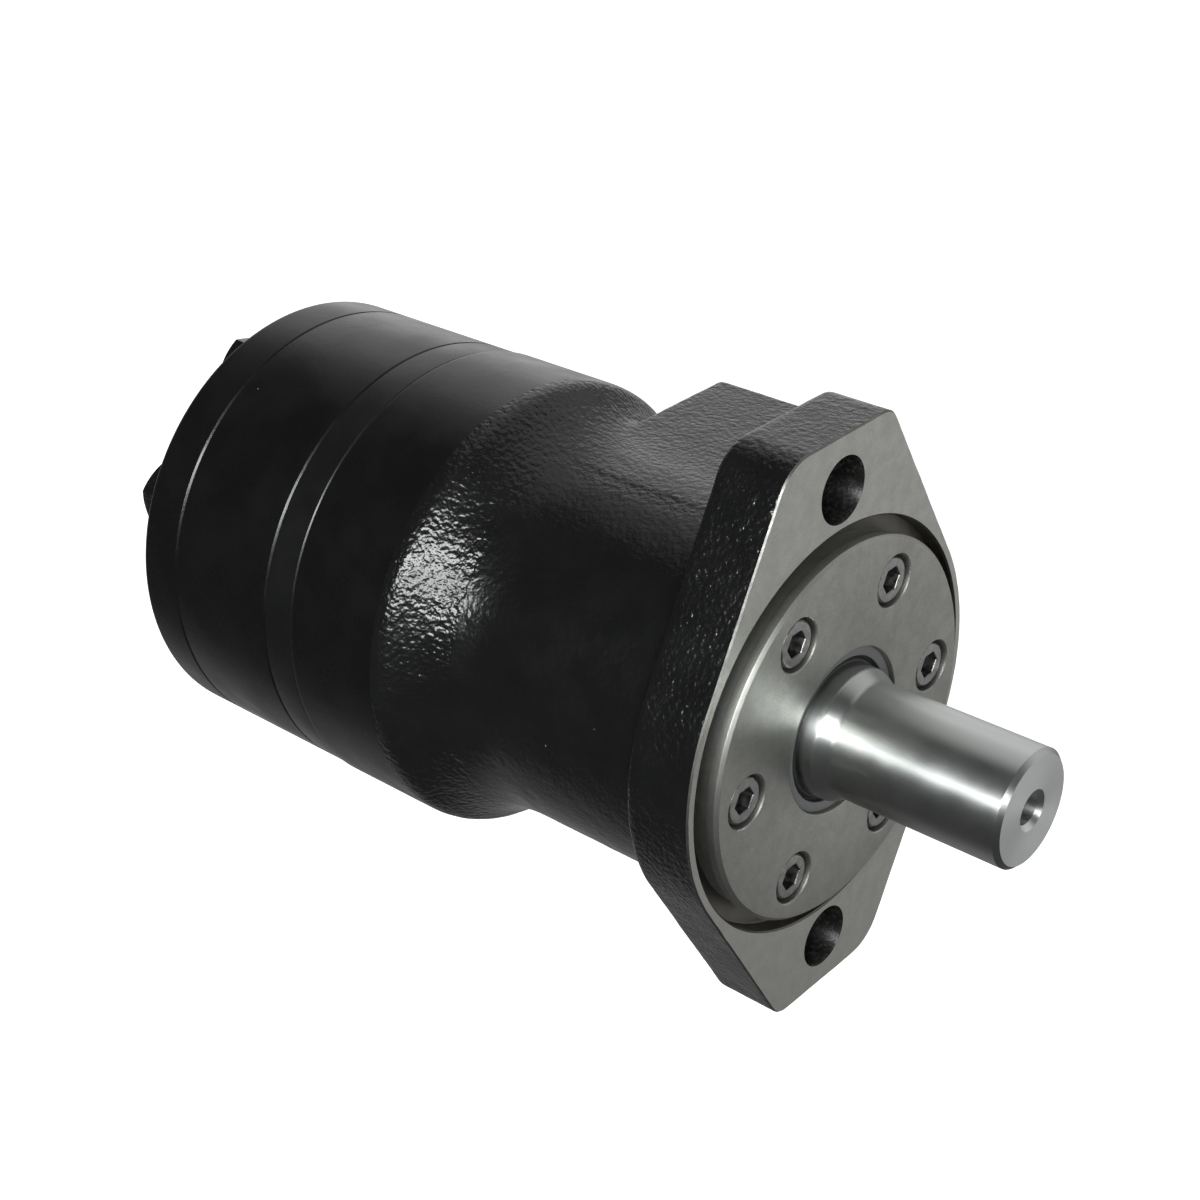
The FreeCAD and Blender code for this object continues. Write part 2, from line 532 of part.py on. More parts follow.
def make_output_shaft():
    """Keyed shaft end, seal journal and hollow valve spool in one piece."""
    front, rear = "port_centre + oil_groove_shift", "port_centre - oil_groove_shift"
    body = turned("output_shaft", [
        ("shaft_end", "0"), ("shaft_end", "shaft_radius - shaft_chamfer"),
        ("shaft_end - shaft_chamfer", "shaft_radius"), ("step_outer", "shaft_radius"),
        ("step_inner", "journal_radius"), ("spool_front", "journal_radius"),
        ("spool_front", "spool_radius"),
        (f"{front} + oil_groove_half", "spool_radius"), (f"{front} + oil_groove_half", "spool_groove"),
        (f"{front} - oil_groove_half", "spool_groove"), (f"{front} - oil_groove_half", "spool_radius"),
        (f"{rear} + oil_groove_half", "spool_radius"), (f"{rear} + oil_groove_half", "spool_groove"),
        (f"{rear} - oil_groove_half", "spool_groove"), (f"{rear} - oil_groove_half", "spool_radius"),
        ("spool_back", "spool_radius"), ("spool_back", "spool_hollow"),
        ("hollow_front", "spool_hollow"), ("hollow_front", "spline_root + spline_play"),
        ("spline_front", "spline_root + spline_play"), ("spline_front", "0")])
    spline_slots(body, "inner_spline", "spline_front", "spline_front - hollow_front")
    for name, level, phase in (("front", f"{front} - oil_groove_half", "0"),
                               ("rear", "port_centre + window_half", "180 / spool_slots")):
        slot = new_sketch(body, f"timing_slot_{name}", "YZ_Plane", level)
        draw_circle(slot, f"spool_radius * cos({phase})", f"spool_radius * sin({phase})", "spool_slot_half")
        length = "oil_groove_shift - oil_groove_half + window_half"
        cut(body, slot, length, count="spool_slots")
    bore(body, "end_countersink", "shaft_end", "end_sink_depth", "end_sink")
    bore(body, "end_thread_hole", "shaft_end", "end_thread_depth", "end_thread")
    key = new_sketch(body, "keyway", "XZ_Plane")
    key.AttachmentOffset = turn_about_x(180 + value("key_angle")) \
        * Placement(Vector(0, 0, value("shaft_radius")), Rotation())
    draw_outline(key, [("key_start + key_half", "-key_half"), ("key_finish - key_half", "-key_half"),
                       ("key_finish - key_half", "key_half"), ("key_start + key_half", "key_half")],
                 {1: ("key_half + key_end_ease", -1), 3: ("key_half + key_end_ease", -1)})
    cut(body, key, "key_depth")


def cardan_tilt():
    """The cardan's axis at rest: from the middle of the front spline to the star's centre."""
    phase = math.radians(value("bolt_phase + 180 / bolt_count"))
    offset = value("eccentricity")
    span = value("joint_front - joint_back")
    axis = Vector(span, -offset * math.cos(phase), -offset * math.sin(phase))
    return Placement(Vector(value("joint_front"), 0, 0), Rotation(Vector(1, 0, 0), axis))


def make_cardan_shaft():
    """The short wobbling shaft with a splined head at each end, which joins star and spool."""
    span = value("joint_front - joint_back")
    half = value("spline_half")
    nose = value("cardan_nose")
    shank_end = half + value("shank_extra")
    shape = rod(value("cardan_shank"), -span - shank_end, shank_end)
    for middle in (0.0, -span):
        head = rod(value("spline_root"), middle - half, middle + half)
        tip, tooth = value("spline_tip"), value("spline_tooth_half")
        for step in range(int(value("spline_count"))):
            bar = Part.makeBox(2 * half, tip, 2 * tooth, Vector(middle - half, 0, -tooth))
            bar.Placement = turn_about_x(360 * step / value("spline_count"))
            head = head.fuse(bar)
        shape = shape.fuse(head)
    taper = value("cardan_nose_length")
    front = Part.makeCone(nose, nose - taper, taper, Vector(shank_end, 0, 0), Vector(1, 0, 0))
    cardan = plain_feature("cardan_shaft", shape.fuse(front).removeSplitter())
    cardan.Placement = cardan_tilt()


# ---------------------------------------------------------------- gear set, plate and end cover
def stack_disc(name, front, back, bore_radius, rear_corner="disc_chamfer", arcs=None):
    """A disc of the rear stack, its rims lightly broken, with the holes for the long bolts."""
    body = turned(name, [
        (front, bore_radius), (front, "disc_radius - disc_chamfer"),
        (f"{front} - disc_chamfer", "disc_radius"), (f"{back} + {rear_corner}", "disc_radius"),
        (back, f"disc_radius - {rear_corner}"), (back, bore_radius)], arcs)
    bore(body, name + "_bolt_holes", front, f"{front} - ({back})", "bolt_shank + bolt_play",
         "bolt_circle", "bolt_phase", "bolt_count")
    return body


def make_distributor_plate():
    """The valve plate that leads the seven passages into the gear chambers."""
    body = stack_disc("distributor_plate", "housing_back", "plate_back", "plate_bore")
    bore(body, "plate_passages", "housing_back", "housing_back - plate_back",
         "passage_radius + plate_passage_extra", "passage_circle", "bolt_phase", "bolt_count")
    face_groove(body, "plate_seal_groove", "plate_back", forward=True)


def make_gerotor_ring():
    """The fixed outer gear with seven round teeth."""
    body = stack_disc("gerotor_ring", "plate_back", "ring_back", "ring_root")
    tooth = new_sketch(body, "ring_tooth", "YZ_Plane", "plate_back")
    phase = "bolt_phase + 180 / bolt_count"
    draw_circle(tooth, f"tooth_circle * cos({phase})", f"tooth_circle * sin({phase})", "tooth_radius")
    add(body, tooth, "plate_back - ring_back", forward=False, count="bolt_count")


def make_gerotor_star():
    """The six-lobed inner gear, which orbits in the ring and drives the cardan shaft.

    A ring tooth's centre, seen from the star, runs along a trochoid. The star's flank is the
    curve at one tooth radius, plus the play, inside it.
    """
    circle, offset = value("tooth_circle"), value("eccentricity")
    teeth = int(value("bolt_count"))
    gap = value("tooth_radius + star_play")
    points_per_lobe = 28
    steps = points_per_lobe * (teeth - 1)
    flank = []
    for step in range(steps):
        angle = 2 * math.pi * step / steps
        along = Vector(0, circle * math.cos(angle) - offset * math.cos(teeth * angle),
                       circle * math.sin(angle) - offset * math.sin(teeth * angle))
        slope = Vector(0, -circle * math.sin(angle) + teeth * offset * math.sin(teeth * angle),
                       circle * math.cos(angle) - teeth * offset * math.cos(teeth * angle))
        inward = Vector(0, -slope.z, slope.y).normalize()
        flank.append(along + inward * gap)
    curve = Part.BSplineCurve()
    curve.interpolate(flank, PeriodicFlag=True)
    front = value("plate_back - star_end_play")
    width = value("plate_back - ring_back - 2 * star_end_play")
    lobes = Part.Face(Part.Wire(curve.toShape())).extrude(Vector(-width, 0, 0))
    phase = value("bolt_phase + 180 / bolt_count")
    lobes.Placement = turn_about_x(phase)
    hole = rod(value("spline_root + spline_play"), -width, 0)
    half = value("spline_tooth_half + spline_side_play")
    for step in range(int(value("spline_count"))):
        slot = Part.makeBox(width, value("spline_tip + spline_play"), 2 * half, Vector(-width, 0, -half))
        slot.Placement = turn_about_x(360 * step / value("spline_count"))
        hole = hole.fuse(slot)
    star = plain_feature("gerotor_star", lobes.cut(hole).removeSplitter())
    star.Placement = Placement(turn_about_x(phase).multVec(Vector(front, offset, 0)), Rotation())
    centre = star.Placement.Base
    spacer = rod(value("spacer_radius"), value("ring_back + spacer_play"), value("spacer_front"))
    plain_feature("cardan_spacer", spacer).Placement = Placement(
        Vector(0, centre.y, centre.z), Rotation())


def make_end_cover():
    """The plain rear disc, with a rounded rear rim, its bolts and their washers."""
    body = stack_disc("end_cover", "ring_back", "end_face", "0", "end_round", {3: ("end_round", -1)})
    face_groove(body, "cover_seal_groove", "ring_back", forward=False)
    seat = value("end_face")
    under_head = seat - value("bolt_washer_thickness")
    hole = rod(value("bolt_shank + bolt_washer_play"), under_head, seat)
    washer = rod(value("bolt_washer"), under_head, seat).cut(hole)
    place = (value("bolt_circle"), value("bolt_count"), value("bolt_phase"))
    plain_feature("end_cover_washers", round_the_axis(washer, *place))
    top = under_head - value("bolt_head_length")
    flats = value("bolt_head_flats")
    depth = value("bolt_head_length")
    narrow = flats / 2 - value("bolt_head_round")
    wide = narrow + depth / math.tan(math.radians(value("bolt_crown_angle")))
    crown = Part.makeCone(narrow, wide, depth, Vector(top, 0, 0), Vector(1, 0, 0))
    head = hexagon_bar(flats, top, under_head).common(crown)
    bolt = head.fuse(rod(value("bolt_shank"), under_head, value("bolt_end"))).removeSplitter()
    plain_feature("end_cover_bolts", round_the_axis(bolt, *place))


def make_face_seals():
    """The rubber rings between housing, plate, ring and end cover."""
    inset = "face_groove_depth / 2"
    for name, place in (("housing_o_ring", f"housing_back + {inset}"),
                        ("plate_o_ring", f"plate_back + {inset}"),
                        ("end_cover_o_ring", f"ring_back - {inset}")):
        o_ring(name, place, "face_seal_circle", "face_seal_section")


make_housing()
make_drain_plug()
make_front_cover()
make_cover_screws()
make_seals()
make_thrust_bearing()
make_output_shaft()
make_cardan_shaft()
make_distributor_plate()
make_gerotor_ring()
make_gerotor_star()
make_end_cover()
make_face_seals()
doc.recompute()

failed = [item.Name for item in doc.Objects if {"Invalid", "Error"} & set(item.State)]
if failed:
    raise RuntimeError(f"failed objects: {failed}")
os.makedirs("parts", exist_ok=True)
for part in SUB_PARTS:
    if part.Shape.isNull() or not part.Shape.isValid():
        raise RuntimeError(f"{part.Label} has no valid shape")
    part.Shape.exportStep(f"parts/{part.Label}.step")
    print(f"{part.Label}: {len(part.Shape.Solids)} solid(s), {part.Shape.Volume:.0f} mm3")
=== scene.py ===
"""The looks of the orbital hydraulic motor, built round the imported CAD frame.

Lengths are millimetres in the frame's axes unless a name says otherwise: +X runs out along the
shaft, +Y out of the oil ports, +Z along the flange's long side. Meshes become metres when made.
"""
import math

import bpy
import numpy as np
from mathutils import Matrix, Vector


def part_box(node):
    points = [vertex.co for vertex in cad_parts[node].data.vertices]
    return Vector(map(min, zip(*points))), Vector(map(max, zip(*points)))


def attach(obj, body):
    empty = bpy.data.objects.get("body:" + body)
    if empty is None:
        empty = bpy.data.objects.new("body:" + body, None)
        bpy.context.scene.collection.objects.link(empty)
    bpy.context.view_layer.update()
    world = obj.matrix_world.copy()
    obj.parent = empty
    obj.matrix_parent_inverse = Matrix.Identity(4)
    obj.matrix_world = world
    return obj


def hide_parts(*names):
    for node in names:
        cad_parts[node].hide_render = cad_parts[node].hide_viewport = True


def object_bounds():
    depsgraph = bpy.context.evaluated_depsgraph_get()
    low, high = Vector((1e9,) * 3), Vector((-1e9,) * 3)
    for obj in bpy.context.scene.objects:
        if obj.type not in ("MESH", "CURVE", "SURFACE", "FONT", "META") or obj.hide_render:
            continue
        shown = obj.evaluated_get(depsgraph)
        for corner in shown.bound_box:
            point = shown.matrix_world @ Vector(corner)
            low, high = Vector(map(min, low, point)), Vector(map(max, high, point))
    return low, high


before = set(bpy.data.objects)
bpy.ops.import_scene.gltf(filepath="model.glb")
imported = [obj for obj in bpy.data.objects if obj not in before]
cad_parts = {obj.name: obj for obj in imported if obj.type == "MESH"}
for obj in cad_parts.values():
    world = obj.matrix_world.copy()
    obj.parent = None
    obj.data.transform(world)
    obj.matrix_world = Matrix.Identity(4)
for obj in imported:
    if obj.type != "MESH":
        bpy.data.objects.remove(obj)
cad_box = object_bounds()

MM = 0.001


def reach(node):
    """A CAD node's box in millimetres: its lowest and highest corner."""
    low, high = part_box(node)
    return np.array(low) / MM, np.array(high) / MM


# ---------------------------------------------------------------- places taken from the frame
SHAFT_END = reach("output_shaft")[1][0]
SPOOL_BACK = reach("output_shaft")[0][0]
SPOOL_RADIUS = reach("output_shaft")[1][1]
COVER_BACK, COVER_FACE = reach("front_cover")[0][0], reach("front_cover")[1][0]
PILOT_RADIUS = reach("front_cover")[1][2]
HOUSING_BACK, FLANGE_HALF_HEIGHT = reach("housing")[0][0], reach("housing")[1][2]
PLATE_BACK, DISC_RADIUS = reach("distributor_plate")[0][0], reach("distributor_plate")[1][2]
RING_BACK = reach("gerotor_ring")[0][0]
END_FACE = reach("end_cover")[0][0]
WASHER_FACE = reach("end_cover_washers")[0][0]
BOLT_TOP = reach("end_cover_bolts")[0][0]
SCREW_TOP, SCREW_END = reach("front_cover_screws")[1][0], reach("front_cover_screws")[0][0]
SEAL_FRONT, SEAL_BACK = reach("dust_seal")[1][0], reach("dust_seal")[0][0]

# ---------------------------------------------------------------- shapes that the boxes don't give
FLANGE_BACK, FLANGE_ROUND, FLANGE_SIDE = -15.5, 46.8, math.radians(30.7)
FLANGE_WIDE, FLANGE_WIDE_SIDE, TIGHT_CORNER, WIDE_CORNER = math.radians(27.0), 47.9, 5.0, 10.0
FLANGE_HOLE, FLANGE_HOLE_RADIUS = 53.2, 6.75
RECESS_RADIUS, RECESS_FLOOR, SEAT_RADIUS = 44.6, -4.0, 40.6
NECK, BARREL, SHOULDER_START, SHOULDER_CREST, SHOULDER_END = 41.8, 51.3, -55.3, -76.53, -79.27
SHOULDER_HOLLOW, SHOULDER_ROUND = 31.0, 4.0
BLOCK_BACK, BLOCK_TOP, BLOCK_HALF = -67.8, 48.6, 41.0
RELIEF_DEPTH, RELIEF_INNER, EDGE_BREAK = 3.5, 24.0, 0.35
BEARING_BORE, BEARING_END, SPOOL_BORE, OIL_GROOVE = 26.6, -23.5, 20.0, 23.5
PORT_X, PORT_Z, PORT_RADIUS, SPOT_RADIUS, SPOT_DEPTH = -46.0, 18.0, 9.3, 13.5, 0.5
PORT_DEPTHS = {1: 15.0, -1: 14.5}
BOLT_COUNT, BOLT_PHASE, FACE_SEAL, SEAL_DEPTH = 7, math.radians(2.13), 34.1, 1.75
BOLT_HOLE, DISC_CHAMFER, DISC_ROUND = 4.3, 0.4, 0.12
TOOTH_CIRCLE, TOOTH_RADIUS, RING_ROOT = 33.0, 8.0, 31.6
SHAFT_RADIUS, JOURNAL = 12.5, 14.25
SPLINE_FRONT, SPLINE_BACK, SPLINE_ROOT, SPLINE_COUNT = -40.0, -60.0, 9.3, 12
PORT_GROOVES, GROOVE_HALF, WINDOW_HALF = (PORT_X + 9.5, PORT_X - 9.5), 3.5, 2.5
CLEAR, SKIN_FRONT = 3.0, 1.0

# what stands in a ring: the circle's radius, how many, and the first one's angle
SCREW_RING = (31.8, 6, math.radians(0.8))
BOLT_RING, PASSAGE_RING, WINDOW_RING = ((circle, BOLT_COUNT, BOLT_PHASE) for circle in (40.0, 28.0, 24.0))


# ---------------------------------------------------------------- mesh building
def new_piece(name, points, faces, material):
    """A mesh object from points in millimetres; its normals are made to point outwards."""
    mesh = bpy.data.meshes.new(name)
    mesh.from_pydata((np.asarray(points, float) * MM).tolist(), [], faces)
    mesh.validate()
    mesh.materials.append(material)
    piece = bpy.data.objects.new(name, mesh)
    bpy.context.scene.collection.objects.link(piece)
    face_outwards(mesh)
    return piece


def gathered(items, field, kind=float):
    """A field of three numbers, for all of a mesh's items, as rows."""
    values = np.zeros(len(items) * 3, kind)
    items.foreach_get(field, values)
    return values.reshape(-1, 3)


def face_outwards(mesh):
    """Flip a closed mesh whose signed volume is negative."""
    mesh.calc_loop_triangles()
    corners = gathered(mesh.loop_triangles, "vertices", int)
    a, b, c = gathered(mesh.vertices, "co")[corners].transpose(1, 0, 2)
    if np.einsum("ij,ij->i", a, np.cross(b, c)).sum() < 0:
        mesh.flip_normals()


def shade(piece, crease=32.0):
    """Smooth shading, with sharp edges where the faces meet at more than the crease angle."""
    piece.data.shade_smooth()
    piece.data.set_sharp_from_angle(angle=math.radians(crease))
    return piece


def rounded(corners, steps=4):
    """An outline whose corners with a third number are replaced by arcs of that radius."""
    outline = []
    for number, corner in enumerate(corners):
        here = np.array(corner[:2], float)
        if len(corner) < 3:
            outline.append(here)
            continue
        before = np.array(corners[number - 1][:2], float) - here
        after = np.array(corners[(number + 1) % len(corners)][:2], float) - here
        before, after = before / np.linalg.norm(before), after / np.linalg.norm(after)
        half = math.acos(np.clip(before @ after, -1, 1)) / 2
        middle = (before + after) / np.linalg.norm(before + after)
        centre = here + middle * corner[2] / math.sin(half)
        start = here + before * corner[2] / math.tan(half) - centre
        finish = here + after * corner[2] / math.tan(half) - centre
        first = math.atan2(start[1], start[0])
        turn = (math.atan2(finish[1], finish[0]) - first + math.pi) % (2 * math.pi) - math.pi
        for angle in first + turn * np.linspace(0, 1, steps + 1):
            outline.append(centre + corner[2] * np.array([math.cos(angle), math.sin(angle)]))
    return outline


def turned(name, outline, material, sides=256):
    """A closed outline of (place along X, radius) turned about the X axis."""
    angles = np.arange(sides) * 2 * math.pi / sides
    points, rings = [], []
    for along, radius in outline:
        if radius < 1e-6:
            rings.append([len(points)] * sides)
            points.append((along, 0.0, 0.0))
        else:
            rings.append(list(range(len(points), len(points) + sides)))
            points += [(along, radius * math.cos(a), radius * math.sin(a)) for a in angles]
    faces = []
    for ring, following in zip(rings, rings[1:] + rings[:1]):
        for side in range(sides):
            other = (side + 1) % sides
            loop = [ring[side], ring[other], following[other], following[side]]
            face = list(dict.fromkeys(loop))
            if len(face) > 2:
                faces.append(face)
    return new_piece(name, points, faces, material)


def prism(name, outline, start, finish, material):
    """An outline in Y and Z, pushed along X from one place to another."""
    count = len(outline)
    points = [(along, across, up) for along in (start, finish) for across, up in outline]
    faces = [list(range(count)), list(range(2 * count - 1, count - 1, -1))]
    for side in range(count):
        other = (side + 1) % count
        faces.append([side, side + count, other + count, other])
    return new_piece(name, points, faces, material)


def moved(piece, matrix):
    """Move a piece's mesh by a matrix whose shift is in metres."""
    piece.data.transform(matrix)
    return piece


def repaint(piece, material, chosen):
    """Give another material to the faces whose middles, in millimetres, are chosen."""
    mesh = piece.data
    mesh.materials.append(material)
    slots = np.zeros(len(mesh.polygons), np.int32)
    mesh.polygons.foreach_get("material_index", slots)
    slots[chosen(gathered(mesh.polygons, "center") / MM)] = len(mesh.materials) - 1
    mesh.polygons.foreach_set("material_index", slots)


def joined(pieces):
    """Make one piece of several that don't touch."""
    first = pieces[0]
    with bpy.context.temp_override(active_object=first, selected_editable_objects=pieces,
                                   selected_objects=pieces, object=first):
        bpy.ops.object.join()
    return first


def round_the_axis(make, circle, count, phase):
    """Copies of what make() returns, evenly on a circle round the X axis, as one piece."""
    copies = []
    for number in range(count):
        angle = phase + number * 2 * math.pi / count
        spot = Matrix.Rotation(angle, 4, "X") @ Matrix.Translation((0, circle * MM, 0))
        copies.append(moved(make(), spot))
    return joined(copies)


def drills(name, radius, start, finish, ring, sides=48):
    """Round bars along X that cut a ring of holes."""
    outline = [(start, 0), (start, radius), (finish, radius), (finish, 0)]
    return round_the_axis(lambda: turned(name, outline, INSIDE, sides), *ring)


def carve(piece, cutters, operation="DIFFERENCE"):
    """Cut a piece by closed cutters, whose surfaces bring their own materials."""
    for cutter in cutters:
        change = piece.modifiers.new(cutter.name, "BOOLEAN")
        change.operation = operation
        change.solver = "MANIFOLD"
        change.material_mode = "TRANSFER"
        change.object = cutter
    graph = bpy.context.evaluated_depsgraph_get()
    result = bpy.data.meshes.new_from_object(piece.evaluated_get(graph))
    result.name = piece.name
    piece.modifiers.clear()
    piece.data = result
    for cutter in cutters:
        bpy.data.objects.remove(cutter)
    return piece


def lattice_noise(points, size, seed):
    """Smooth random heights at points in space; size is the width of one lump."""
    gradients = np.random.default_rng(seed).normal(size=(4096, 3))
    gradients /= np.linalg.norm(gradients, axis=1)[:, None]
    scaled = points / size
    cell = np.floor(scaled).astype(np.int64)
    inside = scaled - cell
    fade = inside ** 3 * (inside * (inside * 6 - 15) + 10)
    total = np.zeros(len(points))
    for corner in np.ndindex(2, 2, 2):
        key = (cell + corner) * (73856093, 19349663, 83492791)
        gradient = gradients[(key[:, 0] ^ key[:, 1] ^ key[:, 2]) % 4096]
        weight = np.prod(np.where(corner, fade, 1 - fade), axis=1)
        total += weight * np.einsum("ij,ij->i", gradient, inside - corner)
    return total


# ---------------------------------------------------------------- materials
class Nodes:
    """A node tree, with short ways to add and join nodes."""

    def __init__(self, tree):
        self.tree = tree
        tree.nodes.clear()

    def node(self, kind, settings=None, **inputs):
        """Add a node; an underscore in an input's name stands for a space."""
        node = self.tree.nodes.new(kind)
        for name, choice in (settings or {}).items():
            setattr(node, name, choice)
        for name, value in inputs.items():
            self.feed(node, name.replace("_", " "), value)
        return node

    def feed(self, node, socket, value):
        if isinstance(value, bpy.types.NodeSocket):
            self.tree.links.new(value, node.inputs[socket])
        else:
            node.inputs[socket].default_value = value

    def remap(self, value, low, high, to_low=0.0, to_high=1.0):
        """Carry the range low to high over to another range, with soft ends."""
        node = self.node("ShaderNodeMapRange", {"interpolation_type": "SMOOTHSTEP"})
        for name, number in zip(("Value", "From Min", "From Max", "To Min", "To Max"),
                                (value, low, high, to_low, to_high)):
            self.feed(node, name, number)
        return node.outputs["Result"]

    def maths(self, operation, first, second=0.0):
        node = self.node("ShaderNodeMath", {"operation": operation})
        self.feed(node, 0, first)
        self.feed(node, 1, second)
        return node.outputs[0]


class Shader(Nodes):
    """One material's nodes round its surface."""

    def __init__(self, name, **surface):
        self.material = bpy.data.materials.new(name)
        self.material.use_nodes = True
        super().__init__(self.material.node_tree)
        self.surface = self.node("ShaderNodeBsdfPrincipled")
        self.node("ShaderNodeOutputMaterial", Surface=self.surface.outputs[0])
        self.place = self.node("ShaderNodeTexCoord").outputs["Object"]
        self.set(**surface)

    def set(self, **inputs):
        for name, value in inputs.items():
            self.feed(self.surface, name.replace("_", " "), value)

    def noise(self, size, detail=2.0, roughness=0.5, place=None):
        """Cloudy values about one half; size is the width of a cloud."""
        return self.node("ShaderNodeTexNoise", Vector=place or self.place, Scale=1 / (size * MM),
                         Detail=detail, Roughness=roughness).outputs["Fac"]

    def scaled(self, along, across):
        """The place, stretched along X and across it."""
        node = self.node("ShaderNodeVectorMath", {"operation": "MULTIPLY"})
        self.feed(node, 0, self.place)
        self.feed(node, 1, (along, across, across))
        return node.outputs["Vector"]

    def blend(self, factor, first, second):
        """Mix two colours."""
        node = self.node("ShaderNodeMix", {"data_type": "RGBA"})
        self.feed(node, 0, factor)
        self.feed(node, 6, (*first, 1) if isinstance(first, tuple) else first)
        self.feed(node, 7, (*second, 1) if isinstance(second, tuple) else second)
        return node.outputs[2]

    def bump(self, height, depth, normal=None):
        """Normals of a surface on which a height of one stands depth millimetres up."""
        node = self.node("ShaderNodeBump", Height=height, Distance=depth * MM, Strength=1.0)
        if normal:
            self.feed(node, "Normal", normal)
        return node.outputs["Normal"]

    def softened(self, radius):
        """Normals that round every edge a little, as paint or a tumbled finish does."""
        return self.node("ShaderNodeBevel", {"samples": 6}, Radius=radius * MM).outputs["Normal"]

    def across_the_marks(self):
        """The direction on the surface that crosses a lathe's marks round the X axis."""
        marks = self.node("ShaderNodeVectorMath", {"operation": "CROSS_PRODUCT"})
        self.feed(marks, 0, (1, 0, 0))
        self.feed(marks, 1, self.place)
        across = self.node("ShaderNodeVectorMath", {"operation": "CROSS_PRODUCT"})
        self.feed(across, 0, self.node("ShaderNodeNewGeometry").outputs["True Normal"])
        self.feed(across, 1, marks.outputs["Vector"])
        return across.outputs["Vector"]

    def smooth_neck(self):
        """One on the neck ahead of the shoulder, where the casting is smoother, else zero."""
        parts = self.node("ShaderNodeSeparateXYZ", Vector=self.place)
        rear, front, low_side, high_side, near, far = -66.0, -65.4, -12.0, -6.0, 44.5, 46.0
        ahead = self.remap(parts.outputs["X"], rear * MM, front * MM)
        beside = self.remap(parts.outputs["Y"], low_side * MM, high_side * MM, 1.0, 0.0)
        close = self.remap(self.distance_from_axis(), near * MM, far * MM, 1.0, 0.0)
        return self.maths("MULTIPLY", self.maths("MULTIPLY", ahead, beside), close)

    def distance_from_axis(self):
        """How far the place is from the X axis, in metres."""
        parts = self.node("ShaderNodeSeparateXYZ", Vector=self.place)
        squares = [self.maths("MULTIPLY", parts.outputs[axis], parts.outputs[axis])
                   for axis in ("Y", "Z")]
        return self.maths("SQRT", self.maths("ADD", *squares))


def dusty(shader, colour, amount):
    """Sprinkle a few pale specks of dust and lint over a colour."""
    apart, dust = 3.1, (0.22, 0.22, 0.22)
    cells = shader.node("ShaderNodeTexVoronoi", Vector=shader.place, Scale=1 / (apart * MM))
    speck = shader.remap(cells.outputs["Distance"], 0.035, 0.06, 1.0, 0.0)
    lot = shader.node("ShaderNodeSeparateColor", Color=cells.outputs["Color"]).outputs[0]
    chosen = shader.remap(lot, 1 - amount, 1 - amount + 0.01)
    return shader.blend(shader.maths("MULTIPLY", speck, chosen), colour, dust)


def gloss_black():
    """Glossy black paint over sand-cast iron, which shows through as fine wrinkles."""
    shader = Shader("gloss_black_paint", IOR=1.5)
    wrinkle = shader.maths("SUBTRACT", shader.noise(1.15, detail=1.0, roughness=0.45), 0.5)
    strength = shader.remap(shader.smooth_neck(), 0.0, 1.0, 1.0, 0.4)
    grain = shader.noise(0.4, detail=2.0)
    normal = shader.bump(shader.maths("MULTIPLY", wrinkle, strength), 0.32, shader.bump(grain, 0.02))
    cloud = shader.noise(9.0, detail=3.0)
    black = shader.blend(cloud, (0.003, 0.003, 0.0032), (0.0055, 0.0055, 0.0056))
    shader.set(Base_Color=dusty(shader, black, 0.08), Normal=normal,
               Roughness=shader.remap(cloud, 0.3, 0.7, 0.20, 0.27))
    return shader.material


def satin_black(name, shade_level, rough, peel):
    """Smoother black paint over a turned surface."""
    shader = Shader(name, IOR=1.5)
    waves = shader.noise(2.2, detail=2.0)
    grain = shader.noise(0.5, detail=3.0)
    normal = shader.bump(waves, peel, shader.bump(grain, 0.012))
    cloud = shader.noise(12.0, detail=4.0)
    low, high = (shade_level * 0.8,) * 3, (shade_level * 1.3, shade_level * 1.3, shade_level * 1.35)
    shader.set(Base_Color=dusty(shader, shader.blend(cloud, low, high), 0.015),
               Roughness=shader.remap(cloud, 0.3, 0.7, rough - 0.05, rough + 0.06), Normal=normal)
    return shader.material


def hole_paint():
    """Thin black paint and dust inside the flange's bolt holes."""
    shader = Shader("hole_black_paint", IOR=1.5, Specular_IOR_Level=0.3)
    mottle = shader.noise(0.9, detail=4.0, roughness=0.65)
    paint, dust = (0.003, 0.003, 0.003), (0.022, 0.021, 0.019)
    colour = shader.blend(shader.remap(mottle, 0.45, 0.75), paint, dust)
    shader.set(Base_Color=dusty(shader, colour, 0.2), Roughness=0.36,
               Normal=shader.bump(shader.noise(0.7, detail=3.0), 0.06))
    return shader.material


def machined_iron(name, low, high):
    """Bare turned cast iron: faint rings, small pits and slightly uneven tone."""
    shader = Shader(name, Metallic=1.0)
    rings = shader.node("ShaderNodeTexNoise", {"noise_dimensions": "1D"}, W=shader.distance_from_axis(),
                        Scale=1 / (0.35 * MM), Detail=3.0).outputs["Fac"]
    pits = shader.noise(0.5, detail=2.0)
    mottle = shader.noise(4.0, detail=5.0, roughness=0.7)
    grain = shader.noise(0.35, detail=2.0)
    colour = shader.blend(shader.remap(mottle, 0.3, 0.7), low, high)
    dark = tuple(part * 0.6 for part in low)
    colour = shader.blend(shader.remap(grain, 0.35, 0.8, 0.0, 0.35), colour, dark)
    shader.set(Base_Color=colour, Roughness=shader.remap(mottle, 0.3, 0.7, 0.49, 0.43),
               Normal=shader.bump(rings, 0.010, shader.bump(pits, 0.006)))
    return shader.material


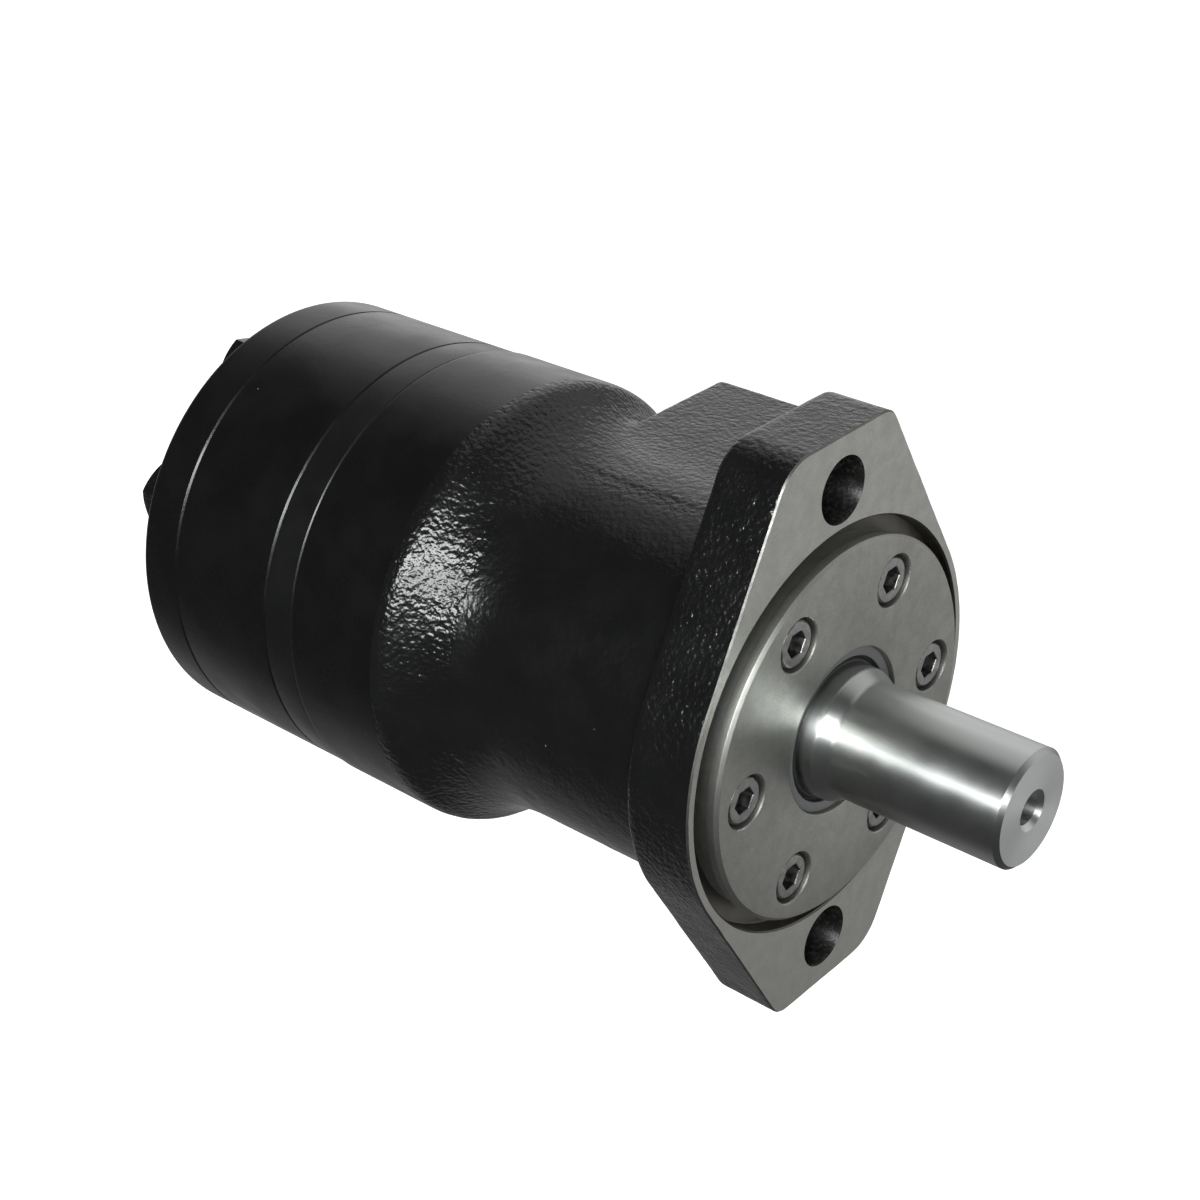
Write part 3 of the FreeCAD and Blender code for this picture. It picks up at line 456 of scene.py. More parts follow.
def bored_iron():
    """The oily machined inside of the casting, darker than the faces."""
    shader = Shader("bored_iron", Metallic=1.0, Anisotropic=0.4)
    mottle = shader.noise(3.0, detail=4.0)
    colour = shader.blend(mottle, (0.10, 0.092, 0.082), (0.20, 0.19, 0.17))
    shader.set(Base_Color=colour, Roughness=shader.remap(mottle, 0.3, 0.7, 0.36, 0.5),
               Normal=shader.bump(shader.noise(0.6, place=shader.scaled(4, 1)), 0.01),
               Tangent=shader.across_the_marks())
    return shader.material


def ground_steel(name, tone, rough):
    """Ground steel, with fine marks round the axis."""
    shader = Shader(name, Metallic=1.0, Anisotropic=0.6)
    marks = shader.noise(0.6, detail=3.0, place=shader.scaled(6, 1))
    cloud = shader.noise(5.0, detail=3.0)
    low, high = (tone * 0.92, tone * 0.95, tone * 0.93), (tone * 1.03, tone * 1.06, tone * 1.04)
    shader.set(Base_Color=shader.blend(cloud, low, high),
               Roughness=shader.remap(cloud, 0.3, 0.7, rough - 0.02, rough + 0.02),
               Normal=shader.bump(marks, 0.004), Tangent=shader.across_the_marks())
    return shader.material


def worn_screw(name, low, high):
    """Steel that has lost most of its black oxide."""
    shader = Shader(name, Metallic=1.0)
    cloud = shader.noise(1.2, detail=3.0)
    colour = shader.blend(shader.remap(cloud, 0.3, 0.7), (low,) * 3, (high, high, high * 0.96))
    normal = shader.bump(shader.noise(0.3, detail=2.0), 0.008, shader.softened(0.2))
    shader.set(Base_Color=colour, Roughness=shader.remap(cloud, 0.3, 0.7, 0.28, 0.42), Normal=normal)
    return shader.material


def rubber(name, tone):
    """Matt rubber with a fine moulded grain."""
    shader = Shader(name, IOR=1.5)
    cloud = shader.noise(2.0, detail=3.0)
    shader.set(Base_Color=shader.blend(cloud, (tone * 0.85,) * 3, (tone * 1.15,) * 3),
               Roughness=shader.remap(cloud, 0.3, 0.7, 0.5, 0.65),
               Normal=shader.bump(shader.noise(0.25, detail=2.0), 0.01))
    return shader.material


def plated(name, low, high, rough):
    """Soft or plated metal with small stains."""
    shader = Shader(name, Metallic=1.0)
    stain = shader.noise(2.5, detail=4.0, roughness=0.6)
    shader.set(Base_Color=shader.blend(shader.remap(stain, 0.3, 0.7), low, high),
               Roughness=shader.remap(stain, 0.3, 0.7, rough, rough + 0.12),
               Normal=shader.bump(shader.noise(0.3, detail=2.0), 0.008, shader.softened(0.2)))
    return shader.material


PAINT = gloss_black()
BARREL_PAINT = satin_black("satin_black_paint", 0.0026, 0.27, 0.030)
PLATE_PAINT = satin_black("plate_black_paint", 0.004, 0.30, 0.022)
IRON = machined_iron("machined_iron", (0.34, 0.343, 0.32), (0.39, 0.392, 0.366))
FACE_IRON = machined_iron("milled_iron", (0.44, 0.445, 0.415), (0.505, 0.51, 0.475))
HOLE_PAINT = hole_paint()
INSIDE = bored_iron()
SHAFT_STEEL = ground_steel("shaft_steel", 0.50, 0.305)
BEARING_STEEL = ground_steel("bearing_steel", 0.55, 0.2)
GEAR_STEEL = ground_steel("gear_steel", 0.42, 0.27)
SCREW_STEEL = worn_screw("screw_head", 0.24, 0.36)
SOCKET_STEEL = worn_screw("screw_socket", 0.12, 0.26)
# the flange's bare front edge: a darker copy of the milled iron, painted shade that dims the edge's
# highlight
SHADED_EDGE_IRON = machined_iron("bare_edge_painted_shade", (0.16, 0.16, 0.15), (0.24, 0.24, 0.22))
END_STEEL = ground_steel("shaft_end_steel", 0.66, 0.34)
GREY_RUBBER = rubber("grey_rubber", 0.085)
BLACK_RUBBER = rubber("black_rubber", 0.012)
ZINC = plated("zinc_plate", (0.45, 0.43, 0.36), (0.62, 0.60, 0.52), 0.28)
COPPER = plated("soft_copper", (0.42, 0.2, 0.11), (0.6, 0.31, 0.18), 0.34)


# ---------------------------------------------------------------- housing
def flange_outline():
    """Two ears with flat ends; opposite corners of the flange have the same rounding."""
    side_y, side_z = math.cos(FLANGE_SIDE), math.sin(FLANGE_SIDE)
    tight_y = (FLANGE_ROUND - FLANGE_HALF_HEIGHT * side_z) / side_y
    wide_y = -(FLANGE_WIDE_SIDE - FLANGE_HALF_HEIGHT * side_z) / side_y
    low_round = np.linspace(math.pi - FLANGE_WIDE, math.pi + FLANGE_SIDE, 30)
    half = [(tight_y, FLANGE_HALF_HEIGHT, TIGHT_CORNER), (wide_y, FLANGE_HALF_HEIGHT, WIDE_CORNER)]
    half += [(FLANGE_ROUND * math.cos(a), FLANGE_ROUND * math.sin(a)) for a in low_round]
    return rounded(half + [(-p[0], -p[1], *p[2:]) for p in half], steps=10)


def block_outline():
    """The port block as cast, with a little extra for its face to be machined off."""
    back, top = -5.0, BLOCK_TOP + 0.7
    return rounded([(back, -BLOCK_HALF), (top, -BLOCK_HALF, 1.8),
                    (top, BLOCK_HALF, 1.8), (back, BLOCK_HALF)], steps=8)


def radius_at(outline, angles):
    """How far out an outline round the axis is, at each angle."""
    corners = np.array(outline)
    share = np.linspace(0, 1, 60, endpoint=False)[None, :, None]
    dense = (corners[:, None] * (1 - share) + np.roll(corners, -1, 0)[:, None] * share).reshape(-1, 2)
    around = np.arctan2(dense[:, 1], dense[:, 0])
    order = np.argsort(around)
    return np.interp(angles, around[order], np.hypot(*dense.T)[order], period=2 * math.pi)


def body_radius(along):
    """The turned body: neck, hollow shoulder with a rounded crest, barrel."""
    behind = np.clip(SHOULDER_START - along, 0, SHOULDER_HOLLOW)
    hollow = NECK + SHOULDER_HOLLOW - np.sqrt(SHOULDER_HOLLOW ** 2 - behind ** 2)
    ahead = np.clip(along - SHOULDER_END, 0, SHOULDER_ROUND)
    crest = BARREL - SHOULDER_ROUND + np.sqrt(SHOULDER_ROUND ** 2 - ahead ** 2)
    return np.where(along < SHOULDER_CREST, crest, hollow)


def smooth_max(first, second, width):
    """The greater of two, with a soft change from one to the other."""
    return (first + second + np.sqrt((first - second) ** 2 + width ** 2)) / 2


def skin_profile(block, flange, front):
    """The casting's outline at one angle, from the rear: points of (place along X, radius).

    block and flange are how far out those stand at this angle; front is where the block ends.
    """
    chamfer, foot, softness = 0.4, 3.5, 0.8

    def stretch(start, finish, count, least=0.0):
        """The body's outline, but no nearer to the axis than least."""
        along = np.linspace(start, finish, count)
        body = body_radius(along)
        return np.stack([along, smooth_max(body, least, softness)], 1)

    def climb(wall, low, high):
        """A concave arc at the foot of a wall that rises from low to high."""
        size = min(foot, 0.45 * (high - low))
        turn = np.linspace(0, math.pi / 2, 9)
        return np.stack([wall - size + size * np.sin(turn), low + size - size * np.cos(turn)], 1)

    rear = np.array([(HOUSING_BACK, BARREL - chamfer), (HOUSING_BACK + chamfer, BARREL),
                     (SHOULDER_END, BARREL)])
    shoulder = float(body_radius(np.array(BLOCK_BACK)))
    rise = climb(BLOCK_BACK, shoulder, max(shoulder + 0.02, block))
    top = stretch(BLOCK_BACK, FLANGE_BACK, 100, block)
    base = float(top[-1, 1])
    if base < flange:
        step = climb(FLANGE_BACK, base, flange)
    else:
        step = np.array([(front, base), (front, flange)])
    shoulder_run = stretch(SHOULDER_END, rise[0, 0], 30)
    return np.concatenate([rear, shoulder_run, rise, top[top[:, 0] < step[0, 0]], step,
                           [(FLANGE_BACK + 0.1, flange), (SKIN_FRONT, flange)]])


def column_angles(count):
    """Angles all round the axis, closer together at the port block's two corners."""
    spread = np.linspace(0, 2 * math.pi, 4001)
    corner, extra, width = math.atan2(BLOCK_HALF, BLOCK_TOP), 1.6, 0.06
    density = 1 + extra * sum(np.exp(-(np.angle(np.exp(1j * (spread - angle))) / width) ** 2)
                              for angle in (corner, -corner))
    share = np.concatenate([[0], np.cumsum(density[:-1])])
    return np.interp(np.arange(count) / count, share / share[-1], spread)


def soften(path, spacing):
    """Round the corners of an evenly spaced path as sand does, but not at the turned rear edge."""
    softness, rear, blend = 1.1, 4.0, 8.0
    half = int(3 * softness / spacing)
    kernel = np.exp(-0.5 * (np.arange(-half, half + 1) * spacing / softness) ** 2)
    padded = np.pad(path, ((half, half), (0, 0)), mode="reflect", reflect_type="odd")
    soft = np.stack([np.convolve(padded[:, axis], kernel / kernel.sum(), "valid")
                     for axis in (0, 1)], 1)
    share = np.clip((path[:, :1] - HOUSING_BACK - rear) / blend, 0, 1)
    return path * (1 - share) + soft * share


def skin_column(outline):
    """An outline's points spaced anew: so many up to each station along X."""
    stations = ((HOUSING_BACK + 0.6, 3), (SHOULDER_END, 30), (BLOCK_BACK - 3.5, 9),
                (BLOCK_BACK + 2.5, 30), (FLANGE_BACK - 6.0, 54), (FLANGE_BACK + 2.5, 42),
                (-EDGE_BREAK, 11), (SKIN_FRONT, 2))
    length = np.concatenate([[0], np.cumsum(np.hypot(*np.diff(outline, axis=0).T))])
    even = np.linspace(0, length[-1], 1500)
    path = np.stack([np.interp(even, length, outline[:, axis]) for axis in (0, 1)], 1)
    path = soften(path, even[1])
    places, start = [0.0], 0.0
    for along, count in stations:
        finish = np.interp(along, path[:, 0], even) if along < SKIN_FRONT else length[-1]
        places += list(np.linspace(start, finish, count + 1)[1:])
        start = finish
    column = np.stack([np.interp(places, even, path[:, axis]) for axis in (0, 1)], 1)
    column[:, 1] -= np.clip(column[:, 0] + EDGE_BREAK, 0, None)
    return column


def make_housing_skin():
    """The painted casting's outside, before it is machined."""
    columns = 500
    angles = column_angles(columns)
    block, flange = radius_at(block_outline(), angles), radius_at(flange_outline(), angles)
    inner = math.atan2(RELIEF_INNER, BLOCK_TOP)
    turn = np.abs(np.angle(np.exp(1j * angles)))
    front = FLANGE_BACK - np.interp(turn, (inner - 0.01, inner + 0.02), (0.05, RELIEF_DEPTH))
    lines = []
    for number, angle in enumerate(angles):
        along, radius = skin_column(skin_profile(block[number], flange[number], front[number])).T
        lines.append(np.stack([along, radius * math.cos(angle), radius * math.sin(angle)], 1))
    grid = np.stack(lines, 1)
    rows = len(grid)
    index = np.arange(rows * columns).reshape(rows, columns)
    after = np.roll(index, -1, 1)
    faces = np.stack([index[:-1], after[:-1], after[1:], index[1:]], -1).reshape(-1, 4).tolist()
    centres = [(HOUSING_BACK, 0, 0), (float(grid[-1, :, 0].mean()), 0, 0)]
    for hub, row in ((rows * columns, index[0][::-1]), (rows * columns + 1, index[-1])):
        faces += [[hub, int(a), int(b)] for a, b in zip(row, np.roll(row, -1))]
    return new_piece("housing_casting", np.concatenate([grid.reshape(-1, 3), centres]), faces, PAINT)


def roughen(piece):
    """Give the casting the lumps that sand leaves; the turned barrel is smoother."""
    mesh = piece.data
    places = gathered(mesh.vertices, "co") / MM
    lumps = ((0.08, 3.4, 1), (0.10, 9.0, 2), (0.03, 1.9, 3))
    height = sum(tall * lattice_noise(places, size, seed) for tall, size, seed in lumps)
    cast = np.clip((places[:, 0] - SHOULDER_END + 4) / 8, 0, 1)
    rim = np.clip((places[:, 0] - HOUSING_BACK - 1) / 3, 0, 1)
    turned_share = 0.12
    height *= (turned_share + (1 - turned_share) * cast) * rim
    places += gathered(mesh.vertex_normals, "vector") * height[:, None]
    mesh.vertices.foreach_set("co", (places * MM).ravel())
    mesh.update()


def paint_by_place(piece):
    """The turned barrel's paint is smoother than the cast part's; the flange's front edge is bare iron,
    coloured much darker than the milled face: painted shade that dims the edge's highlight.
    """
    repaint(piece, BARREL_PAINT, lambda centres: centres[:, 0] < SHOULDER_END - 1.5)
    repaint(piece, SHADED_EDGE_IRON, lambda centres: centres[:, 0] > -EDGE_BREAK)


def port_grooves(radius, floor):
    """The outline of two ring grooves, one beside each port, in a bore or bar of this radius."""
    outline = []
    for middle in PORT_GROOVES:
        outline += [(middle + GROOVE_HALF, radius), (middle + GROOVE_HALF, floor),
                    (middle - GROOVE_HALF, floor), (middle - GROOVE_HALF, radius)]
    return outline


def inside_cutter():
    """The stepped room for the cover, the bearing and the shaft's spool."""
    mouth = RECESS_RADIUS + EDGE_BREAK
    return turned("inside", rounded([
        (CLEAR, 0), (CLEAR, mouth), (0, mouth), (-EDGE_BREAK, RECESS_RADIUS),
        (RECESS_FLOOR, RECESS_RADIUS, 0.4), (RECESS_FLOOR, SEAT_RADIUS), (COVER_BACK, SEAT_RADIUS),
        (COVER_BACK, BEARING_BORE), (BEARING_END, BEARING_BORE), (BEARING_END, SPOOL_BORE),
        *port_grooves(SPOOL_BORE, OIL_GROOVE),
        (HOUSING_BACK - CLEAR, SPOOL_BORE), (HOUSING_BACK - CLEAR, 0)]), INSIDE)


def face_cutters():
    """What mills the flange's front and the port face."""
    far, beside = FLANGE_HALF_HEIGHT + 10, BLOCK_HALF + CLEAR
    front = turned("front_face", [(0, 0), (0, far), (CLEAR, far), (CLEAR, 0)], FACE_IRON, 64)
    port_face = prism("port_face", [(BLOCK_TOP, -beside), (BLOCK_TOP + CLEAR, -beside),
                                    (BLOCK_TOP + CLEAR, beside), (BLOCK_TOP, beside)],
                      BLOCK_BACK - CLEAR, FLANGE_BACK + CLEAR, IRON)
    return [front, port_face]


def flange_hole(up):
    """A mounting hole through the flange, with a broken front edge."""
    edge = 0.3
    back, mouth = FLANGE_BACK - CLEAR, FLANGE_HOLE_RADIUS + edge
    hole = turned("flange_hole", rounded([
        (back, 0), (back, FLANGE_HOLE_RADIUS), (-0.4, FLANGE_HOLE_RADIUS),
        (0, mouth), (CLEAR, mouth), (CLEAR, 0)]), HOLE_PAINT, 96)
    return moved(hole, Matrix.Translation((0, 0, up * MM)))


def port_drill(radius, top, floor, along, up, tip=0.0):
    """A bar that goes down into the port face, from one height above the axis to another."""
    bar = turned("port_drill", [(floor - tip, 0), (floor, radius), (top, radius), (top, 0)], INSIDE, 64)
    stand = Matrix.Rotation(math.radians(90), 4, "Z")
    return moved(bar, Matrix.Translation((along * MM, 0, up * MM)) @ stand)


def port_cutters():
    """The ports with their spot faces and galleries, and four tapped holes for a manifold."""
    top, overlap = BLOCK_TOP + CLEAR, 0.2
    gallery_radius, gallery_length, gallery_x, gallery_z = 4.0, 17.0, 7.0, 14.0
    tap_radius, tap_depth, tap_tip, tap_x, tap_z = 3.4, 13.0, 1.5, 18.0, 34.0
    spots, ports, galleries = [], [], []
    for side, depth in PORT_DEPTHS.items():
        floor = BLOCK_TOP - depth
        spots.append(port_drill(SPOT_RADIUS, top, BLOCK_TOP - SPOT_DEPTH, PORT_X, side * PORT_Z))
        ports.append(port_drill(PORT_RADIUS, top, floor, PORT_X, side * PORT_Z))
        galleries.append(port_drill(gallery_radius, floor + overlap, floor - gallery_length,
                                    PORT_X + gallery_x * side, gallery_z * side))
    taps = [port_drill(tap_radius, top, BLOCK_TOP - tap_depth, PORT_X + tap_x * along, tap_z * side,
                       tap_tip)
            for along in (1, -1) for side in (1, -1)]
    return [joined(spots), joined(ports), joined(galleries), joined(taps)]


def drain_cutters():
    """The drain port: a seat for the plug's washer, the thread, and a duct to the bearing room."""
    seat_radius, seat_depth, thread_radius, thread_depth = 9.2, 4.0, 5.75, 13.0
    duct_radius, drain_x, duct_x, overlap = 2.0, -26.0, -22.0, 0.1
    seat, floor = BLOCK_TOP - seat_depth, BLOCK_TOP - thread_depth
    return [port_drill(seat_radius, BLOCK_TOP + CLEAR, seat, drain_x, 0),
            port_drill(thread_radius, seat + overlap, floor, drain_x, 0),
            port_drill(duct_radius, floor + overlap, BEARING_BORE - 1, duct_x, 0)]


def lengthwise_holes():
    """The holes along the shaft's direction: for the screws, the bolts and the oil."""
    screw_tap, bolt_tap, bolt_tap_end, passage, window = 3.05, 4.05, -86, 2.6, 4.3
    behind = HOUSING_BACK - CLEAR
    return [drills("screw_tap", screw_tap, SCREW_END - 2, COVER_BACK + 0.2, SCREW_RING),
            drills("bolt_tap", bolt_tap, behind, bolt_tap_end, BOLT_RING),
            drills("passage", passage, behind, PORT_X, PASSAGE_RING, 32),
            drills("window", window, PORT_X - WINDOW_HALF, PORT_X + WINDOW_HALF, WINDOW_RING)]


def make_housing():
    """The casting with its machined faces and holes."""
    casting = make_housing_skin()
    roughen(casting)
    paint_by_place(casting)
    mounting = joined([flange_hole(FLANGE_HOLE), flange_hole(-FLANGE_HOLE)])
    carve(casting, [*face_cutters(), inside_cutter(), mounting, *port_cutters(), *drain_cutters(),
                    *lengthwise_holes(), seal_groove(HOUSING_BACK, 1)])
    return shade(casting, 38)


def seal_groove(level, side):
    """The ring cut for a face seal; side is +1 where it goes into the +X side of the level."""
    half, over = 1.1, 0.5
    low, high = sorted((level - side * over, level + side * SEAL_DEPTH))
    return turned("seal_groove", [(low, FACE_SEAL - half), (high, FACE_SEAL - half),
                                  (high, FACE_SEAL + half), (low, FACE_SEAL + half)], INSIDE, 128)


# ---------------------------------------------------------------- rear stack
def stack_holes(front, back):
    """The bolts' holes through one disc of the rear stack."""
    return drills("bolt_hole", BOLT_HOLE, back - 1, front + 1, BOLT_RING)


def plain_disc(name, front, back, bore, paint):
    """A turned disc with both of its edges broken."""
    rim = DISC_RADIUS - DISC_CHAMFER
    return turned(name, rounded([
        (front, bore), (front, rim, DISC_ROUND), (front - DISC_CHAMFER, DISC_RADIUS, DISC_ROUND),
        (back + DISC_CHAMFER, DISC_RADIUS, DISC_ROUND), (back, rim, DISC_ROUND), (back, bore)]), paint, 360)


def make_distributor_plate():
    bore, passage = 13.0, 3.2
    plate = plain_disc("distributor_plate_body", HOUSING_BACK, PLATE_BACK, bore, PLATE_PAINT)
    carve(plate, [stack_holes(HOUSING_BACK, PLATE_BACK),
                  drills("passage", passage, PLATE_BACK - 1, HOUSING_BACK + 1, PASSAGE_RING, 32),
                  seal_groove(PLATE_BACK, 1)])
    return shade(plate)


def ring_inside():
    """The gear chamber's outline: a circle with seven round teeth standing in it."""
    outline = []
    pitch = 2 * math.pi / BOLT_COUNT
    for angle in np.linspace(0, 2 * math.pi, 504, endpoint=False):
        off = (angle - BOLT_PHASE) % pitch - pitch / 2
        below = TOOTH_RADIUS ** 2 - (TOOTH_CIRCLE * math.sin(off)) ** 2
        tooth = TOOTH_CIRCLE * math.cos(off) - math.sqrt(below) if below > 0 else RING_ROOT
        radius = min(RING_ROOT, tooth)
        outline.append((radius * math.cos(angle), radius * math.sin(angle)))
    return outline


def make_gerotor_ring():
    ring = plain_disc("gerotor_ring_body", PLATE_BACK, RING_BACK, 0, BARREL_PAINT)
    chamber = prism("chamber", ring_inside(), RING_BACK - 1, PLATE_BACK + 1, GEAR_STEEL)
    carve(ring, [chamber, stack_holes(PLATE_BACK, RING_BACK)])
    return shade(ring)


def make_end_cover():
    rear_round = 1.6
    cover = turned("end_cover_body", rounded([
        (RING_BACK, 0), (RING_BACK, DISC_RADIUS - DISC_CHAMFER, DISC_ROUND),
        (RING_BACK - DISC_CHAMFER, DISC_RADIUS, DISC_ROUND),
        (END_FACE, DISC_RADIUS, rear_round), (END_FACE, 0)], steps=8), BARREL_PAINT, 360)
    carve(cover, [stack_holes(RING_BACK, END_FACE), seal_groove(RING_BACK, -1)])
    return shade(cover)


def make_end_bolt():
    """A hexagon bolt: its head is a six-sided bar cut by a cone, then joined to the shank."""
    flats, crown_top, crown_slope, shank_radius, tip = 13.0, 6.2, math.radians(30), 4.0, 0.8
    corner = flats / math.sqrt(3)
    head = turned("bolt", [(BOLT_TOP, 0), (BOLT_TOP, corner), (WASHER_FACE, corner), (WASHER_FACE, 0)],
                  PAINT, 6)
    crown_foot = crown_top + (WASHER_FACE - BOLT_TOP) / math.tan(crown_slope)
    crown = turned("crown", [(BOLT_TOP, 0), (BOLT_TOP, crown_top), (WASHER_FACE, crown_foot),
                             (WASHER_FACE, 0)], PAINT, 96)
    carve(head, [crown], "INTERSECT")
    end = reach("end_cover_bolts")[1][0]
    shank = turned("shank", [(WASHER_FACE - 1, 0), (WASHER_FACE - 1, shank_radius),
                             (end - tip, shank_radius), (end, shank_radius - tip), (end, 0)],
                   GEAR_STEEL, 48)
    return carve(head, [shank], "UNION")


def make_end_washer():
    bore, outside = 4.2, 8.0
    return turned("washer", rounded([(WASHER_FACE, bore), (WASHER_FACE, outside, 0.25),
                                     (END_FACE, outside, 0.15), (END_FACE, bore)]), PAINT, 72)


# ---------------------------------------------------------------- front cover, screws, seals, shaft
def counterbore():
    """The sunk seat for one cover screw's head."""
    radius, depth, edge, over = 5.7, 6.6, 0.25, 1.0
    floor, mouth = COVER_FACE - depth, radius + edge
    return turned("counterbore", [
        (floor, 0), (floor, radius), (COVER_FACE - edge, radius), (COVER_FACE, mouth),
        (COVER_FACE + over, mouth), (COVER_FACE + over, 0)], IRON, 96)


def make_front_cover():
    bore, chamfer, screw_hole = 18.0, 0.7, 3.3
    pocket, pocket_floor, web, web_front = 19.5, -2.2, 15.0, -1.0
    groove_front, groove_back, groove_floor = -6.6, -9.4, SEAT_RADIUS - 2.2
    cover = turned("front_cover_disc", rounded([
        (COVER_FACE, bore, 0.25), (COVER_FACE, PILOT_RADIUS - chamfer, 0.12),
        (COVER_FACE - chamfer, PILOT_RADIUS, 0.12), (0, PILOT_RADIUS, 0.1), (0, SEAT_RADIUS),
        (groove_front, SEAT_RADIUS), (groove_front, groove_floor), (groove_back, groove_floor),
        (groove_back, SEAT_RADIUS), (COVER_BACK, SEAT_RADIUS, 0.3), (COVER_BACK, pocket),
        (pocket_floor, pocket), (pocket_floor, web), (web_front, web), (web_front, bore)]), IRON, 360)
    carve(cover, [round_the_axis(counterbore, *SCREW_RING),
                  drills("screw_hole", screw_hole, COVER_BACK - 1, COVER_FACE, SCREW_RING)])
    return shade(cover)


def make_cover_screw():
    head, length, shank, chamfer = 5.0, 6.0, 3.0, 0.45
    socket, depth, tip, flare = 2.9, 3.2, 1.2, 0.8
    screw = turned("screw", rounded([
        (SCREW_TOP, 0), (SCREW_TOP, head - chamfer, 0.12), (SCREW_TOP - chamfer, head, 0.2),
        (SCREW_TOP - length, head, 0.2), (SCREW_TOP - length, shank), (SCREW_END, shank),
        (SCREW_END, 0)]), SCREW_STEEL, 72)
    key = turned("key", [(SCREW_TOP - depth - tip, 0), (SCREW_TOP - depth, socket),
                         (SCREW_TOP - 0.2, socket), (SCREW_TOP + 0.6, socket + flare),
                         (SCREW_TOP + 0.6, 0)], SOCKET_STEEL, 6)
    return carve(screw, [key])


def make_dust_seal():
    """A wiper ring: a flat rim, a black valley inside it and a lip that touches the shaft."""
    outside, rim, lip = 17.95, 15.75, 14.3
    rim_front, valley, lip_front = SEAL_FRONT - 0.5, SEAL_FRONT - 2.2, SEAL_FRONT - 0.9
    wiper = turned("dust_wiper", rounded([
        (SEAL_BACK, lip), (SEAL_BACK, outside), (rim_front, outside, 0.3), (rim_front, rim, 0.25),
        (valley, rim - 0.2, 0.2), (lip_front, lip + 0.45, 0.2), (lip_front, lip, 0.1)]), GREY_RUBBER, 192)
    repaint(wiper, BLACK_RUBBER, lambda centres: np.hypot(centres[:, 1], centres[:, 2]) < rim - 0.05)
    return shade(wiper)


def shaft_end_cutters():
    """What faces the shaft's end and drills its centre hole."""
    over, depth, radius, mouth, edge, far = 1.0, 20.0, 3.4, 4.4, 1.0, 20.0
    front, floor = SHAFT_END + over, SHAFT_END - depth
    hole = turned("end_hole", [(floor, 0), (floor, radius), (SHAFT_END - edge, radius),
                               (SHAFT_END, mouth), (front, mouth), (front, 0)], END_STEEL, 64)
    face = turned("end_face", [(SHAFT_END, 0), (SHAFT_END, far), (front, far), (front, 0)], END_STEEL, 64)
    return [face, hole]


def keyway_cutter():
    """A slot with round ends, cut into the shaft's lower side."""
    around, half, rear, front, depth = math.radians(-67.5), 4.0, 9.0, 41.0, 4.0
    ends = [(front - half, -math.pi / 2), (rear + half, math.pi / 2)]
    slot = [(centre + half * math.cos(first + turn), half * math.sin(first + turn))
            for centre, first in ends for turn in np.linspace(0, math.pi, 13)]
    key = prism("keyway", slot, SHAFT_RADIUS - depth, SHAFT_RADIUS + CLEAR, INSIDE)
    lie_down = Matrix(((0, 1, 0, 0), (1, 0, 0, 0), (0, 0, 1, 0), (0, 0, 0, 1)))
    moved(key, Matrix.Rotation(around, 4, "X") @ lie_down)
    face_outwards(key.data)
    return key


def timing_slots():
    """Two rings of slots along the spool, one to each port groove, that take turns round it."""
    radius, reach_in, count = 1.7, 2.5, 6
    front_groove, rear_groove = PORT_GROOVES
    length = front_groove - GROOVE_HALF - PORT_X + reach_in
    starts = ((PORT_X - reach_in, 0), (rear_groove + GROOVE_HALF, math.pi / count))
    return [drills("timing_slot", radius, start, start + length, (SPOOL_RADIUS, count, phase), 24)
            for start, phase in starts]


def spline_slots():
    """The slots between the inner spline's teeth."""
    low, high, half = 5.0, 10.8, 1.6
    slots = []
    for number in range(SPLINE_COUNT):
        slot = prism("spline_slot", [(low, -half), (high, -half), (high, half), (low, half)],
                     SPLINE_BACK - 0.2, SPLINE_FRONT, SHAFT_STEEL)
        slots.append(moved(slot, Matrix.Rotation(number * 2 * math.pi / SPLINE_COUNT, 4, "X")))
    return slots


def make_output_shaft():
    step_front, step_back, spool_front, groove_floor, bore = 8.0, 5.0, -20.0, 17.5, 13.0
    edge_back, over = SHAFT_END - 1, 0.5
    shaft = turned("output_shaft_turned", rounded([
        (SHAFT_END + over, 0), (SHAFT_END + over, SHAFT_RADIUS - 1.5), (edge_back, SHAFT_RADIUS, 0.1),
        (step_front, SHAFT_RADIUS, 2.5), (step_back, JOURNAL, 1.5), (spool_front, JOURNAL),
        (spool_front, SPOOL_RADIUS, 0.3), *port_grooves(SPOOL_RADIUS, groove_floor),
        (SPOOL_BACK, SPOOL_RADIUS, 0.3), (SPOOL_BACK, bore), (SPLINE_BACK, bore),
        (SPLINE_BACK, SPLINE_ROOT), (SPLINE_FRONT, SPLINE_ROOT), (SPLINE_FRONT, 0)]), SHAFT_STEEL, 256)
    carve(shaft, [*shaft_end_cutters(), keyway_cutter(), *timing_slots(), *spline_slots()])
    return shade(shaft)


# ---------------------------------------------------------------- build everything
def fasteners(name, make, ring):
    """One piece of all the bolts, washers or screws in a ring."""
    piece = shade(round_the_axis(make, *ring))
    piece.name = name
    return piece


def stand_in(piece, node, body):
    """Let a piece take a CAD node's place on a body."""
    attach(piece, body)
    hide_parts(node)


stand_in(make_housing(), "housing", "casing")
stand_in(make_distributor_plate(), "distributor_plate", "casing")
stand_in(make_gerotor_ring(), "gerotor_ring", "casing")
stand_in(make_end_cover(), "end_cover", "casing")
stand_in(fasteners("end_bolts", make_end_bolt, BOLT_RING), "end_cover_bolts", "casing")
stand_in(fasteners("end_washers", make_end_washer, BOLT_RING), "end_cover_washers", "casing")
stand_in(make_front_cover(), "front_cover", "casing")
stand_in(fasteners("cover_screws", make_cover_screw, SCREW_RING), "front_cover_screws", "casing")
stand_in(make_dust_seal(), "dust_seal", "casing")
stand_in(make_output_shaft(), "output_shaft", "output")

